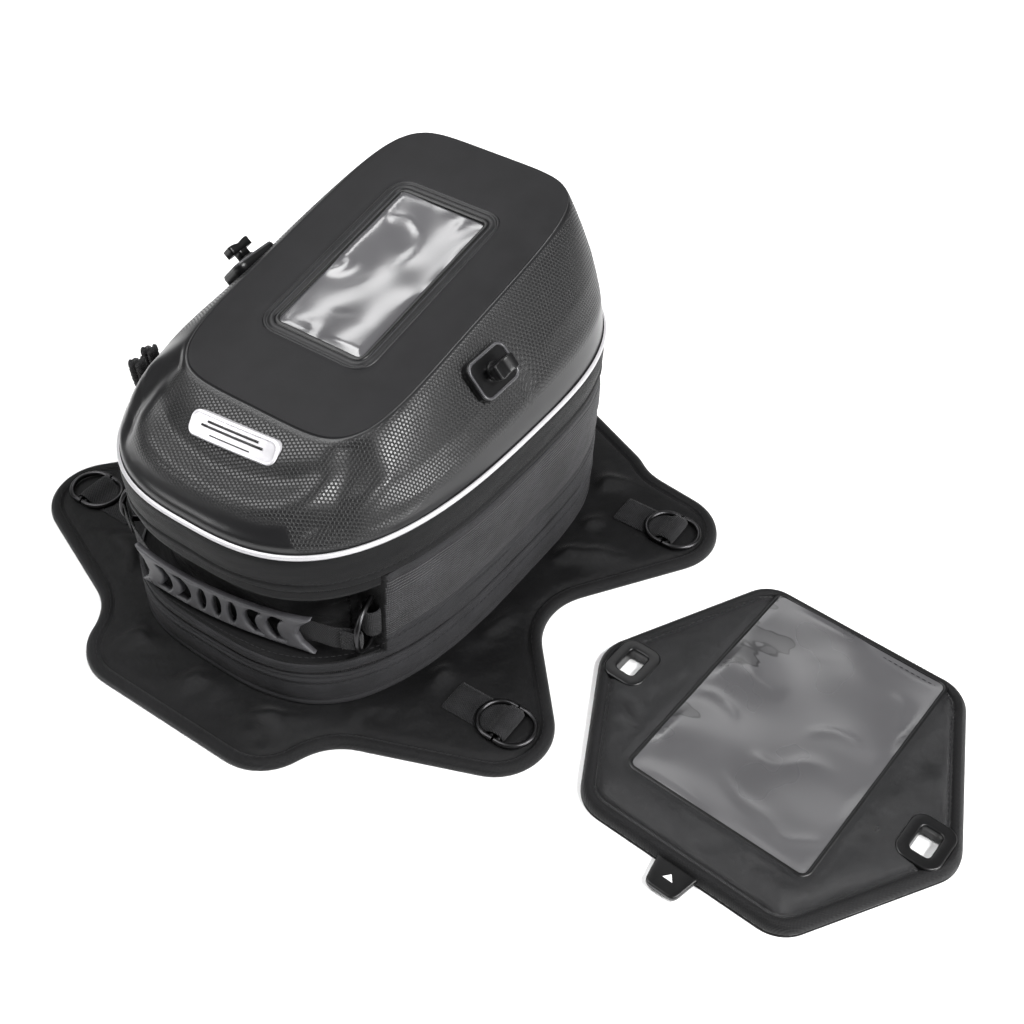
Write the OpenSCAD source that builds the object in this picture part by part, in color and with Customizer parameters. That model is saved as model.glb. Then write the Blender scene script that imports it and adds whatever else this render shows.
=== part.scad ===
// Motorcycle tank bag set: magnetic saddle mat, expandable bag with a moulded lid,
// and a map case that clips on the lid. Millimetres, +Z up, -Y is the front (handle end).
// The origin is the middle of the mat's underside.

/* [Saddle mat] */
// Thickness of the padded mat
mat_t = 5; // [4:0.5:8]
// Half width of the mat's front flap
flap_w = 96; // [90:1:104]
// Distance from the middle to the front edge
flap_y = 229; // [222:1:240]
// Half width of the mat's rear flap
tail_w = 86; // [80:1:92]
// Distance from the middle to the rear edge
tail_y = 198; // [192:1:206]
// Sideways position of the ring pairs
ring_x = 189.5; // [180:0.5:195]
// Fore-and-aft position of the ring pairs
ring_y = 106.3; // [95:0.1:110]
// Radius of the four lobes
lobe_r = 39; // [36:1:42]
// Width of the bound edge
binding_w = 9; // [6:1:12]

/* [Bag] */
// Half width of the bag
bag_w = 124.5; // [115:0.5:130]
// Forward reach of the bag from its widest line, at the lid seam
bag_front = 198; // [190:1:205]
// Rearward reach of the bag from its widest line, at the lid seam
bag_rear = 150; // [140:1:155]
// Offset of the widest line behind the middle
bag_mid = 25; // [15:1:30]
// Height of the reflective piping above the ground
seam_z = 140; // [130:1:150]
// Height of the main zip above the ground
zip_z = 110; // [106:1:114]
// Height of the expansion zip above the ground
expand_z = 35; // [32:1:38]
// Wall thickness of the bag
wall_t = 3; // [2:0.5:4]
// Height gained when the expansion zip is open
expand_travel = 45; // [30:1:50]

/* [Lid] */
// Height of the smooth top panel at the middle of the window
panel_z = 210; // [200:1:220]
// Slope of the top panel, rising to the rear, in degrees
panel_tilt = 10.8; // [8:0.1:12]
// Length of the clear window
window_l = 141; // [120:1:150]
// Width of the clear window
window_w = 74; // [66:1:84]
// Fore-and-aft position of the window's middle
window_y = 24; // [15:1:30]
// Width of the badge plate
badge_w = 67; // [60:1:75]
// Height of the badge plate
badge_h = 23; // [20:1:26]

/* [Turn locks] */
// Sideways position of the lock's base
lock_x = 102.5; // [101:0.5:104]
// Fore-and-aft position of the locks
lock_y = 3; // [0:1:8]
// Lean of the lock's axis above the horizontal, in degrees
lock_tilt = 41; // [39:1:43]

/* [Handle] */
// Length of the moulded grip between its end tips
grip_l = 140; // [130:1:145]
// Height of the moulded grip
grip_h = 33; // [28:1:36]
// Height of the handle rings above the ground
handle_z = 70; // [68:1:74]

/* [Rings] */
// Radius of the ring wire
wire_r = 1.9; // [1.5:0.1:2.2]
// Width of the webbing
webbing_w = 25; // [20:1:26]
// Half length of a mat ring's bar
ring_half = 15.2; // [14:0.1:16]

/* [Map case] */
// Sideways position of the map case
case_x = 339.5; // [335:0.5:350]
// Turn of the map case on the ground, in degrees
case_turn = -4.2; // [-8:0.1:0]
// Length of the map case's clear window
case_window_l = 185; // [170:1:190]
// Width of the map case's clear window
case_window_w = 130; // [120:1:136]
// Half distance between the two sockets
socket_x = 108.8; // [106:0.1:110]
// Thickness of the map case at its edge
case_t = 10; // [8:0.5:12]

/* [Hidden] */

fabric = [0.13, 0.13, 0.14];
woven = [0.17, 0.17, 0.18];
moulded = [0.20, 0.20, 0.21];
dark_metal = [0.10, 0.10, 0.11];
silver = [0.78, 0.78, 0.80];
clear = [0.75, 0.75, 0.78];
grey_rubber = [0.30, 0.30, 0.31];

gap = 0.4;             // running gap between moving pieces
notch_r = 44;          // hollow curves between the mat's lobes
lobe_in = 7.5;         // a lobe's middle, from its ring pair
lobe_back = 1.7;
front_r = 40;          // corners of the mat's front flap
rear_r = 48;           // corners of the mat's rear flap
front_shoulder = [105, -153, 25];  // place and radius of the mat's other round corners, right side
rear_shoulder = [125, 118, 36];
front_hip = [80, -90, 30];
rear_hip = [108, 126, 42];
waist = [108, -12, 31];
magnet_r = 24;         // magnet in each lobe
magnet_t = 2.2;
under_t = 1.2;         // non-slip underlay
bind_t = 0.9;          // bound edge above the pad
ring_z = mat_t + 3.7;  // height of a mat ring's bar
bar_gap = 2.7;         // half distance between the bars of a ring pair
ring_leg = 2;          // straight part of a ring beside its bar
tab_l = 44;            // length of a sewn webbing tail
tab_t = 1.3;           // thickness of a sewn webbing tail
bag_base = 203;        // forward reach of the bag at its floor
bag_tail = 128;        // rearward reach of the bag at its floor
curve_top = 2.87;      // squareness of the outline at the lid seam
curve_base = 3.2;      // squareness of the outline at the floor
steps = 48;            // points round the bag's outline
panel_w = 80;          // half width of the top panel
panel_front = -105;    // front edge of the top panel
panel_rear = 152;      // rear edge of the top panel
panel_curve = 4.2;     // squareness of the top panel
dome_power = 1.4;      // swell of the lid's slopes
dome_steps = 5;        // bands of the lid's slopes
shell_t = 3;           // thickness of the moulded lid
lock_z = 188;          // height of the lock's base
lock_w = 28;           // base plate, down the slope
lock_l = 38;           // base plate, along the bag
lock_plate = 2;        // height of the base plate above its place
boss_r = 6;            // round boss under the knob
boss_top = 4.5;
pin_r = 3;             // bore for the knob's pin
head_l = 18.5;         // toggle head of the knob
head_w = 9.5;
head_low = 11;
head_t = 5.5;
badge_y = -130;        // place and slope of the badge plate
badge_z = 173;
badge_slope = 36;
recess_x = 105;        // half width of the recess behind the handle
recess_low = 43;       // lower edge of that recess
recess_high = 104;     // upper edge of that recess
recess_depth = 24;     // depth of that recess
recess_ahead = 260;    // reach of its cut in front of the middle
recess_end = 95;       // where its cut ends, in front of the middle
wall_low = expand_z + 1;
wall_high = zip_z - 1; // the woven side wall
handle_y = -124;       // line of the handle's ring bars
handle_x = 97.5;       // sideways place of the handle's ring bars
gusset_low = 8;        // the gusset's lower end above the mat
gusset_high = 3;       // the gusset's upper end above the expansion zip
strip_w = 140;         // sewn strip along the lid's rear hinge
strip_h = 13;          // height of each of its halves
strip_t = 1.2;
strip_gap = 0.05;      // gap between the strip and the wall
tab_half = 7.5;        // half width of the loop round a ring's bar
grip_x = 4;            // middle of the grip, sideways
grip_y = -167;         // middle of the grip, fore and aft
grip_z = 62;           // middle of the grip above the ground
grip_bow = 340;        // radius of the grip's bend
grip_turn = 6.5;       // turn of the grip about the vertical
slider_off = 1.1;      // distance of a zip slider from the wall
front_a = 204.5;       // outline angles of the parked sliders
rear_a = 200;
expand_a = 168;
front_turn = 12;       // turns of the parked sliders, along the wall
rear_turn = 8.5;
expand_turn = -8;
case_y = -26.2;        // fore-and-aft place of the line through the sockets
hole_w = 14;           // through holes that drop over the lock toggles
hole_l = 20;
tongue_x = 1;          // sideways place of the front tongue
tongue_w = 30;         // width of the front tongue at the map case
tongue_end = 20;       // width of its end
tongue_y = -126;       // its end
tongue_root = -104;    // its sewn end, inside the map case
tongue_low = 3;
tongue_t = 3.5;
case_corners = [       // centre and radius of the map case's round corners, right side
    [60, 97, 26], [103, 1, 28], [58, -81, 26]
];
case_rim = 9;          // width of the map case's edge
mouth_w = 90;          // opening of the map case at its front
case_back_t = 2.5;     // thickness of the map case's back
case_front_t = 2;      // thickness of the map case's front
socket_w = 30;         // plate of a socket
socket_l = 36;
socket_top = 2.2;      // height of a socket's plate above the front
sleeve = 3;            // wall of a socket round its hole
pull_r = 1;            // pin and arms of a zip pull
pull_x = -4.2;         // a pull's pin, out from its slider
pull_arm = 14;         // arms of a main zip pull
pull_lean = 20;        // lean of a main zip pull, outwards
cord_r = 4.4;          // braided cord of a main zip pull
cord_l = 22;
case_mid = 25;         // window's middle, measured from the line through the sockets

// ---------- shared shapes ----------

function mix(a, b, t) = a + (b - a) * t;
function curl(v, p) = sign(v) * pow(abs(v), p);

// A point of the bag's outline at angle a and height z, moved inwards by inset.
function rim(a, z, inset = 0) =
    let (t = z / seam_z,
         p = 2 / mix(curve_base, curve_top, t),
         ahead = mix(bag_base, bag_front, t),
         behind = mix(bag_tail, bag_rear, t),
         reach = (sin(a) < 0 ? ahead : behind) - inset)
    [(bag_w - inset) * curl(cos(a), p), bag_mid + reach * curl(sin(a), p), z];

// A point of the top panel's outline, on the sloping plane lowered by drop.
function panel_point(a, inset = 0, drop = 0) =
    let (mid = (panel_front + panel_rear) / 2,
         half = (panel_rear - panel_front) / 2 - inset,
         x = (panel_w - inset) * curl(cos(a), 2 / panel_curve),
         y = mid + half * curl(sin(a), 2 / panel_curve))
    [x, y, panel_z + tan(panel_tilt) * (y - window_y) - drop];

// A point of the lid's slope: t runs from 0 at the seam to 1 at the top panel.
function dome_point(a, t, inset = 0) =
    let (low = rim(a, seam_z + 1.8, inset),
         high = panel_point(a, inset, inset),
         out = 1 - pow(1 - pow(t, dome_power), 1 / dome_power))
    [mix(low[0], high[0], out), mix(low[1], high[1], out), mix(low[2], high[2], t)];

function ring_of(z, inset = 0) = [for (i = [0:steps - 1]) rim(360 * i / steps, z, inset)];
function dome_ring(t, inset = 0) = [for (i = [0:steps - 1]) dome_point(360 * i / steps, t, inset)];

// A closed solid through a list of rings that have the same number of points.
module loft(rings) {
    n = len(rings[0]);
    m = len(rings);
    points = [for (r = rings) each r];
    sides = [
        for (k = [0:m - 2], i = [0:n - 1])
            let (j = (i + 1) % n, a = k * n + i, b = k * n + j, c = a + n, d = b + n)
            each [[a, c, b], [b, c, d]]
    ];
    bottom = [[for (i = [0:n - 1]) i]];
    top = [[for (i = [n - 1:-1:0]) (m - 1) * n + i]];
    polyhedron(points, concat(sides, bottom, top), convexity = 6);
}

// The solid inside the bag's outline between two heights.
module bag_core(low, high, inset = 0) {
    loft([ring_of(low, inset), ring_of(high, inset)]);
}

// A wall that follows the bag's outline.
module bag_band(low, high, outer = 0, inner = wall_t) {
    difference() {
        bag_core(low, high, outer);
        bag_core(low - 1, high + 1, inner);
    }
}

module rounded(w, l, r, h) {
    linear_extrude(h) {
        hull() {
            for (x = [-1, 1], y = [-1, 1]) {
                translate([x * (w / 2 - r), y * (l / 2 - r)]) circle(r = r, $fn = 32);
            }
        }
    }
}

// Places things on the sloping plane of the top panel, at the window's middle.
module on_panel(lift = 0) {
    translate([0, window_y, panel_z]) rotate([panel_tilt, 0, 0]) translate([0, 0, lift]) children();
}

// ---------- saddle mat ----------

// A round corner of the mat on side s.
module corner(s, place) {
    translate([s * place[0], place[1]]) circle(r = place[2], $fn = 40);
}

// The part of the mat that carries one ring pair, at end e.
module lobe(s, e, shoulder) {
    hull() {
        corner(s, [ring_x - lobe_in, e * (ring_y + lobe_back), lobe_r]);
        corner(s, shoulder);
        corner(s, waist);
    }
}

module mat_outline(inset = 0) {
    offset(r = -inset - notch_r, $fn = 40) offset(r = notch_r, $fn = 40) {
        for (s = [-1, 1]) {
            lobe(s, -1, front_shoulder);
            lobe(s, 1, rear_shoulder);
        }
        hull() {
            for (s = [-1, 1]) {
                corner(s, [flap_w - front_r, front_r - flap_y, front_r]);
                corner(s, front_hip);
            }
        }
        hull() {
            for (s = [-1, 1]) {
                corner(s, [tail_w - rear_r, tail_y - rear_r, rear_r]);
                corner(s, rear_hip);
            }
        }
        square([2 * front_shoulder[0], 2 * rear_hip[1]], center = true);
    }
}

module magnet_places() {
    for (x = [-1, 1], y = [-1, 1]) {
        translate([x * (ring_x - 22), y * (ring_y - 2), 0]) children();
    }
}

module mat_pad() {
    color(fabric) {
        difference() {
            translate([0, 0, under_t]) linear_extrude(mat_t - under_t) mat_outline();
            magnet_places() translate([0, 0, under_t - 1])
                cylinder(r = magnet_r + 0.2, h = magnet_t + 1.2, $fn = 48);
        }
    }
}

module mat_underlay() {
    color(woven) linear_extrude(under_t) mat_outline(0.5);
}

module mat_binding() {
    color(fabric) {
        translate([0, 0, mat_t]) linear_extrude(bind_t) {
            difference() {
                mat_outline();
                mat_outline(binding_w);
            }
        }
    }
}

module mat_magnets() {
    color(silver) magnet_places() translate([0, 0, under_t])
        cylinder(r = magnet_r, h = magnet_t, $fn = 48);
}

// ---------- rings and webbing tabs ----------

// A D ring lying flat, its bar along Y through the origin and its bow towards +X.
module d_ring(half, leg, r) {
    rotate([90, 0, 0]) cylinder(r = r - 0.2, h = 2 * half, center = true, $fn = 24);
    for (s = [-1, 1]) {
        translate([-r, s * half, 0]) rotate([0, 90, 0]) cylinder(r = r, h = leg + r, $fn = 24);
    }
    translate([leg, 0, 0]) rotate([0, 0, -90]) rotate_extrude(angle = 180, $fn = 48) {
        translate([half, 0]) circle(r = r, $fn = 24);
    }
}

// Sewn webbing tail with the loop that holds two bars back to back; the tail runs to -X.
module ring_tab() {
    color(fabric) {
        difference() {
            union() {
                translate([-tab_l, -webbing_w / 2, mat_t]) cube([tab_l, webbing_w, tab_t]);
                hull() {
                    for (s = [-1, 1]) {
                        translate([s * bar_gap, 0, ring_z]) rotate([90, 0, 0])
                            cylinder(r = 3.4, h = webbing_w, center = true, $fn = 32);
                    }
                    translate([-6, -webbing_w / 2, mat_t]) cube([12, webbing_w, tab_t]);
                }
            }
            for (s = [-1, 1]) {
                translate([s * bar_gap, 0, ring_z]) rotate([90, 0, 0])
                    cylinder(r = wire_r + gap, h = webbing_w + 2, center = true, $fn = 32);
            }
        }
    }
}

// A ring pair's place: sx is the side of the bag, sy is the end.
module at_ring(sx, sy) {
    translate([sx * ring_x, sy * ring_y, 0]) rotate([0, 0, sx > 0 ? 0 : 180]) children();
}

module mat_ring(sx, sy, outward) {
    color(dark_metal) at_ring(sx, sy) translate([outward * bar_gap, 0, ring_z])
        rotate([0, 0, outward > 0 ? 0 : 180]) d_ring(ring_half, ring_leg, wire_r);
}

// ---------- lower bag ----------

module bottom_shell() {
    color(fabric) {
        difference() {
            bag_core(mat_t, expand_z - 1);
            bag_core(mat_t + 1.5, expand_z, wall_t);
        }
    }
}

module floor_board() {
    color(woven) bag_core(mat_t + 1.5, mat_t + 4, 7);
}

module expansion_zip_lower() {
    color(dark_metal) bag_band(expand_z - 1, expand_z - gap / 2, 0.3, wall_t);
}

module expansion_gusset() {
    color(woven) bag_band(mat_t + gusset_low, expand_z + gusset_high, wall_t + 0.6, wall_t + 1.6);
}

// Places a zip slider on the outline at angle a and height z, turned to the wall, outside to -X.
module at_wall(a, z, turn) {
    p = rim(a, z);
    translate([p[0], p[1], z]) rotate([0, 0, turn]) translate([-slider_off, 0, 0]) children();
}

module slider_body() {
    translate([-1.3, 0, 0]) cube([2.6, 12, 9], center = true);
    translate([pull_x, 0, 0]) difference() {
        cube([3.4, 5, 6], center = true);
        rotate([90, 0, 0]) cylinder(r = 1.4, h = 8, center = true, $fn = 24);
    }
}

// The wire part of a pull: its pin and the two arms, which run towards +Z.
module pull_frame(arm) {
    rotate([90, 0, 0]) cylinder(r = pull_r, h = 9, center = true, $fn = 24);
    for (s = [-1, 1]) {
        translate([-pull_r, s * 4.1 - 0.8, -pull_r]) cube([2 * pull_r, 1.6, arm + pull_r]);
    }
}

module expansion_slider() {
    color(dark_metal) at_wall(expand_a, expand_z, expand_turn) slider_body();
}

module expansion_pull() {
    color(dark_metal) at_wall(expand_a, expand_z, expand_turn) translate([pull_x, 0, 0])
        rotate([180, 0, 0]) {
            pull_frame(pull_arm - 1);
            translate([0, 0, pull_arm + 2]) cube([2, 9.8, 8], center = true);
        }
}

// ---------- upper bag ----------

// The space of the recess behind the handle, open to the front.
module recess_space(low, high, half) {
    translate([-half, -recess_ahead, low]) cube([2 * half, recess_ahead - recess_end, high - low]);
}

module bag_wall() {
    color(woven) {
        difference() {
            bag_band(wall_low, wall_high);
            recess_space(recess_low, recess_high, recess_x);
        }
    }
}

module front_recess() {
    color(fabric) {
        intersection() {
            recess_space(recess_low - 4, recess_high + 3, recess_x + 3);
            difference() {
                bag_core(wall_low - 1, wall_high + 1, wall_t);
                bag_core(wall_low - 1, wall_high + 1, recess_depth + 2);
                intersection() {
                    recess_space(recess_low, recess_high, recess_x);
                    bag_band(wall_low, wall_high, 0, recess_depth);
                }
            }
        }
    }
}

module expansion_zip_upper() {
    color(dark_metal) bag_band(expand_z + gap / 2, expand_z + 1, 0.3, wall_t);
}

module main_zip_lower() {
    color(dark_metal) bag_band(zip_z - 1, zip_z - gap / 2, 0.4, 5);
}

// One half of the sewn strip along the lid's rear hinge.
module hinge_strip(low, high) {
    intersection() {
        bag_band(low, high, -strip_t, -strip_gap);
        translate([-strip_w / 2, 60, low]) cube([strip_w, 200, high - low]);
    }
}

module hinge_strip_lower() {
    color(fabric) hinge_strip(zip_z - strip_h, zip_z - gap);
}

// Webbing tab with the loose loop for the handle's ring, at one end of the recess.
module handle_tab(s) {
    color(fabric) translate([s * handle_x, handle_y, handle_z]) difference() {
        cube([2 * tab_half, 2 * tab_half, 23], center = true);
        cube([2 * tab_half - 3.6, 2 * tab_half - 3.6, 30], center = true);
    }
}

// ---------- handle ----------

// Height-wise outline of the grip, seen from the front, with its notched ends.
module grip_face() {
    half = grip_l / 2;
    top = grip_h / 2;
    polygon([
        [-half, top], [-half + 22, top - 3], [half - 22, top - 3], [half, top],
        [half - 9, 0], [half, -top], [half - 24, -top + 4], [-half + 24, -top + 4],
        [-half, -top], [-half + 9, 0]
    ]);
}

// The gaps through the grip: three upright slots and two bowed ones at each end.
module grip_gaps() {
    for (x = [-11, 0, 11]) {
        hull() {
            for (z = [-5.5, 5.5]) {
                translate([x, z]) circle(r = 2.3, $fn = 24);
            }
        }
    }
    for (s = [-1, 1], x = [25, 38]) {
        translate([s * x, 0]) difference() {
            circle(r = 10, $fn = 32);
            translate([s * 4, 0]) circle(r = 10.6, $fn = 32);
            translate([s * 10, 0]) square([20, 30], center = true);
        }
    }
}

// A bent plate that follows the bag's front, from near to far outside the grip's middle line.
module grip_plate(near, far) {
    translate([0, grip_bow, 0]) rotate_extrude(angle = 360, $fn = 360) {
        translate([grip_bow + near, -40]) square([far - near, 80]);
    }
}

// The grip hangs a little askew, with its left end further out.
module at_grip() {
    translate([grip_x, grip_y, grip_z]) rotate([0, 0, grip_turn]) children();
}

module handle_grip() {
    color(grey_rubber) at_grip() intersection() {
        rotate([90, 0, 0]) linear_extrude(60, center = true) {
            difference() {
                grip_face();
                grip_gaps();
            }
        }
        grip_plate(-2, 3);
    }
}

// Webbing from the grip's end to the ring, bunched round the ring's bow.
module handle_webbing(s) {
    color(fabric) hull() {
        at_grip() translate([s * (grip_l / 2 - 8), 5.5, 0]) cube([1, 2, 22], center = true);
        translate([s * (handle_x + 5.2), handle_y - 19, handle_z])
            cylinder(r = 3.2, h = 17, center = true, $fn = 24);
    }
}

module handle_ring(s) {
    color(dark_metal) mirror([s < 0 ? 1 : 0, 0, 0]) translate([handle_x, handle_y, handle_z]) {
        rotate([0, 0, -75]) rotate([90, 0, 0]) d_ring(17, 6, 2);
    }
}

// ---------- lid ----------

module lid_band() {
    color(fabric) bag_band(zip_z + 1, seam_z - 2);
}

module main_zip_upper() {
    color(dark_metal) bag_band(zip_z + gap / 2, zip_z + 1, 0.4, 5);
}

module hinge_strip_upper() {
    color(fabric) hinge_strip(zip_z + gap, zip_z + strip_h);
}

module reflective_piping() {
    color(silver) bag_band(seam_z - 2, seam_z + 1.8, -2, 4);
}

module dome(inset) {
    loft([for (k = [0:dome_steps]) dome_ring(k / dome_steps, inset)]);
}

module window_hole(w, l, r) {
    on_panel(-20) rounded(w, l, r, 60);
}

module lid_shell() {
    color(moulded) {
        difference() {
            dome(0);
            dome(shell_t);
            translate([-panel_w, panel_front, seam_z - 5])
                cube([2 * panel_w, panel_rear - panel_front, 8]);
            window_hole(window_w + 6, window_l + 6, 8);
        }
    }
}

module top_panel() {
    color(moulded) {
        difference() {
            loft([
                [for (i = [0:steps - 1]) panel_point(360 * i / steps, 1, 0)],
                [for (i = [0:steps - 1]) panel_point(360 * i / steps, 4, -2)]
            ]);
            window_hole(window_w + 14, window_l + 14, 11);
        }
    }
}

module window_frame() {
    color(fabric) {
        difference() {
            on_panel() rounded(window_w + 13.4, window_l + 13.4, 11, 1.2);
            window_hole(window_w, window_l, 6);
        }
    }
}

module window_film() {
    color(clear) on_panel(-0.8) rounded(window_w + 5.6, window_l + 5.6, 8, 0.8);
}

module phone_pocket() {
    color(woven) {
        on_panel(-16) difference() {
            rounded(window_w + 14, window_l + 14, 8, 12.6);
            translate([0, 0, 1.5]) rounded(window_w + 6, window_l + 6, 6, 20);
        }
    }
}

module badge() {
    color(silver) {
        difference() {
            translate([0, badge_y, badge_z]) rotate([badge_slope, 0, 0])
                translate([0, 0, -6]) rounded(badge_w, badge_h, 5, 10.5);
            dome(0);
        }
    }
}

// ---------- turn locks ----------

module at_lock(s) {
    mirror([s < 0 ? 1 : 0, 0, 0]) translate([lock_x, lock_y, lock_z]) rotate([0, 90 - lock_tilt, 0])
        children();
}

module lock_base(s) {
    color(dark_metal) {
        difference() {
            at_lock(s) {
                translate([0, 0, -9]) rounded(lock_w, lock_l, 7, lock_plate + 9);
                cylinder(r = boss_r, h = boss_top, $fn = 32);
            }
            dome(0);
            at_lock(s) translate([0, 0, -3]) cylinder(r = pin_r, h = 12, $fn = 32);
        }
    }
}

module lock_knob(s) {
    color(dark_metal) at_lock(s) {
        translate([0, 0, 0.5]) cylinder(r = pin_r - gap, h = boss_top, $fn = 32);
        translate([0, 0, boss_top + gap]) cylinder(r = 4.4, h = head_low - boss_top, $fn = 32);
        translate([0, 0, head_low]) rounded(head_l, head_w, 3, head_t);
    }
}

// ---------- main zip sliders ----------

module main_slider(a, turn) {
    color(dark_metal) at_wall(a, zip_z, turn) slider_body();
}

// A braided cord pull that stands up and outwards from its slider.
module main_pull(a, turn) {
    color(dark_metal) at_wall(a, zip_z, turn) translate([pull_x, 0, 0]) rotate([0, -pull_lean, 0]) {
        pull_frame(pull_arm);
        translate([0, 0, pull_arm - 1]) cylinder(r = cord_r, h = cord_l, $fn = 24);
    }
}

// ---------- map case ----------

module at_case() {
    translate([case_x, case_y, 0]) rotate([0, 0, case_turn]) children();
}

// Six-sided outline, measured from the line through the sockets.
module case_outline(inset = 0) {
    offset(r = -inset, $fn = 32) hull() {
        for (s = [-1, 1], c = case_corners) {
            translate([s * c[0], c[1]]) circle(r = c[2], $fn = 48);
        }
    }
}

module socket_holes(w, l) {
    for (s = [-1, 1]) {
        translate([s * socket_x, 0, -1]) rounded(w, l, 3, 30);
    }
}

module case_back() {
    color(fabric) at_case() difference() {
        linear_extrude(case_back_t) case_outline(1);
        socket_holes(hole_w, hole_l);
    }
}

module case_edge() {
    color(fabric) at_case() difference() {
        translate([0, 0, case_back_t]) linear_extrude(case_t - case_front_t - case_back_t) difference() {
            case_outline();
            case_outline(case_rim);
        }
        translate([-mouth_w / 2, -120, case_back_t]) cube([mouth_w, 40, 30]);
        socket_holes(hole_w + 2 * sleeve, hole_l + 2 * sleeve);
    }
}

module case_front() {
    color(fabric) at_case() difference() {
        translate([0, 0, case_t - case_front_t]) linear_extrude(case_front_t) case_outline(1);
        translate([0, case_mid, 0]) rounded(case_window_w, case_window_l, 6, 40);
        socket_holes(hole_w + 2 * sleeve, hole_l + 2 * sleeve);
    }
}

module case_film() {
    color(clear) at_case() translate([0, case_mid, case_t])
        rounded(case_window_w + 8, case_window_l + 8, 8, 0.6);
}

module case_socket(s) {
    color(dark_metal) at_case() difference() {
        union() {
            translate([s * socket_x, 0, case_t]) rounded(socket_w, socket_l, 8, socket_top);
            translate([s * socket_x, 0, case_back_t])
                rounded(hole_w + 2 * sleeve, hole_l + 2 * sleeve, 3, case_t - case_back_t + 0.1);
        }
        socket_holes(hole_w, hole_l);
    }
}

module case_tongue() {
    color(grey_rubber) at_case() {
        translate([tongue_x, 0, tongue_low]) linear_extrude(tongue_t) polygon([
            [-tongue_w / 2, tongue_root], [-tongue_end / 2, tongue_y],
            [tongue_end / 2, tongue_y], [tongue_w / 2, tongue_root]
        ]);
    }
}

mat_pad();
mat_underlay();
mat_binding();
mat_magnets();
at_ring(-1, -1) ring_tab();  // ring_tab_front_left
at_ring(1, -1) ring_tab();  // ring_tab_front_right
at_ring(-1, 1) ring_tab();  // ring_tab_rear_left
at_ring(1, 1) ring_tab();  // ring_tab_rear_right
mat_ring(-1, -1, -1);  // d_ring_front_left_inner
mat_ring(-1, -1, 1);  // d_ring_front_left_outer
mat_ring(1, -1, -1);  // d_ring_front_right_inner
mat_ring(1, -1, 1);  // d_ring_front_right_outer
mat_ring(-1, 1, -1);  // d_ring_rear_left_inner
mat_ring(-1, 1, 1);  // d_ring_rear_left_outer
mat_ring(1, 1, -1);  // d_ring_rear_right_inner
mat_ring(1, 1, 1);  // d_ring_rear_right_outer
bottom_shell();
floor_board();
expansion_zip_lower();
expansion_gusset();
expansion_slider();
expansion_pull();
bag_wall();
front_recess();
expansion_zip_upper();
main_zip_lower();
hinge_strip_lower();
handle_tab(-1);  // handle_tab_left
handle_tab(1);  // handle_tab_right
handle_grip();
handle_webbing(-1);  // handle_webbing_left
handle_webbing(1);  // handle_webbing_right
handle_ring(-1);  // handle_ring_left
handle_ring(1);  // handle_ring_right
lid_band();
reflective_piping();
lid_shell();
top_panel();
window_frame();
window_film();
phone_pocket();
badge();
main_zip_upper();
hinge_strip_upper();
lock_base(-1);  // lock_base_left
lock_base(1);  // lock_base_right
lock_knob(-1);  // lock_knob_left
lock_knob(1);  // lock_knob_right
main_slider(front_a, front_turn);  // main_slider_front
main_slider(rear_a, rear_turn);  // main_slider_rear
main_pull(front_a, front_turn);  // main_pull_front
main_pull(rear_a, rear_turn);  // main_pull_rear
case_back();
case_edge();
case_front();
case_film();
case_socket(-1);  // case_socket_left
case_socket(1);  // case_socket_right
case_tongue();
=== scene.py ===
"""The looks of a motorcycle tank bag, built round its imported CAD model.
Lengths are millimetres until put() turns them into metres."""
import math

import bpy
import numpy as np
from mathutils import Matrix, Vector
from mathutils.geometry import delaunay_2d_cdt


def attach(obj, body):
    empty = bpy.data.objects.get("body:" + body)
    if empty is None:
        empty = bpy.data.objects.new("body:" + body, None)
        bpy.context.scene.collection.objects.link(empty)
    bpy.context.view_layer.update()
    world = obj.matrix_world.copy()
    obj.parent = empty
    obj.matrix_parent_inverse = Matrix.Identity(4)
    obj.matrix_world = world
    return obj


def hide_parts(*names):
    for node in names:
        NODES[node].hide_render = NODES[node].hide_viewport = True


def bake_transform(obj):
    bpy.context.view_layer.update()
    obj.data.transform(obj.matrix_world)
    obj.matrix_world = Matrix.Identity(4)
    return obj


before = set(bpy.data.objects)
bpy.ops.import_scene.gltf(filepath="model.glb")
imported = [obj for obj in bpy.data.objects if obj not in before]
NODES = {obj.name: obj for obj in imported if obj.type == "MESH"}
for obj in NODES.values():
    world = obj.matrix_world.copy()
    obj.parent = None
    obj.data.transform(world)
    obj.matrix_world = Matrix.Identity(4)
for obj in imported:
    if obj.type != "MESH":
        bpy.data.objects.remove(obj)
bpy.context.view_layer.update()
MM = 0.001
TAU = 2 * math.pi

# ---------- dimensions shared with the CAD model ----------

BAG_W, BAG_MID = 124.5, 25.0
FRONT_TOP, FRONT_BASE = 198.0, 203.0
REAR_TOP, REAR_BASE = 150.0, 128.0
CURVE_TOP, CURVE_BASE = 2.87, 3.2
SEAM_Z, ZIP_Z, EXPAND_Z, MAT_T = 140.0, 110.0, 35.0, 5.0
PANEL_Z, PANEL_TILT = 210.0, math.radians(10.8)
PANEL_W, PANEL_FRONT, PANEL_REAR, PANEL_CURVE = 80.0, -105.0, 152.0, 5.4
WINDOW_Y, WINDOW_W, WINDOW_L = 24.0, 74.0, 141.0
BADGE_W, BADGE_H = 66.0, 17.0
BADGE_AT = np.array([3.0, -128.0, 178.0])
BADGE_TILT, BADGE_TURN, BADGE_BOW = math.radians(48), math.radians(5), 240.0
LOCK_X, LOCK_Y, LOCK_Z, LOCK_TILT = 102.5, 3.0, 188.0, math.radians(41)
RECESS_X, RECESS_LOW, RECESS_HIGH, RECESS_DEPTH = 105.0, 43.0, 104.0, 24.0
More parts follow.
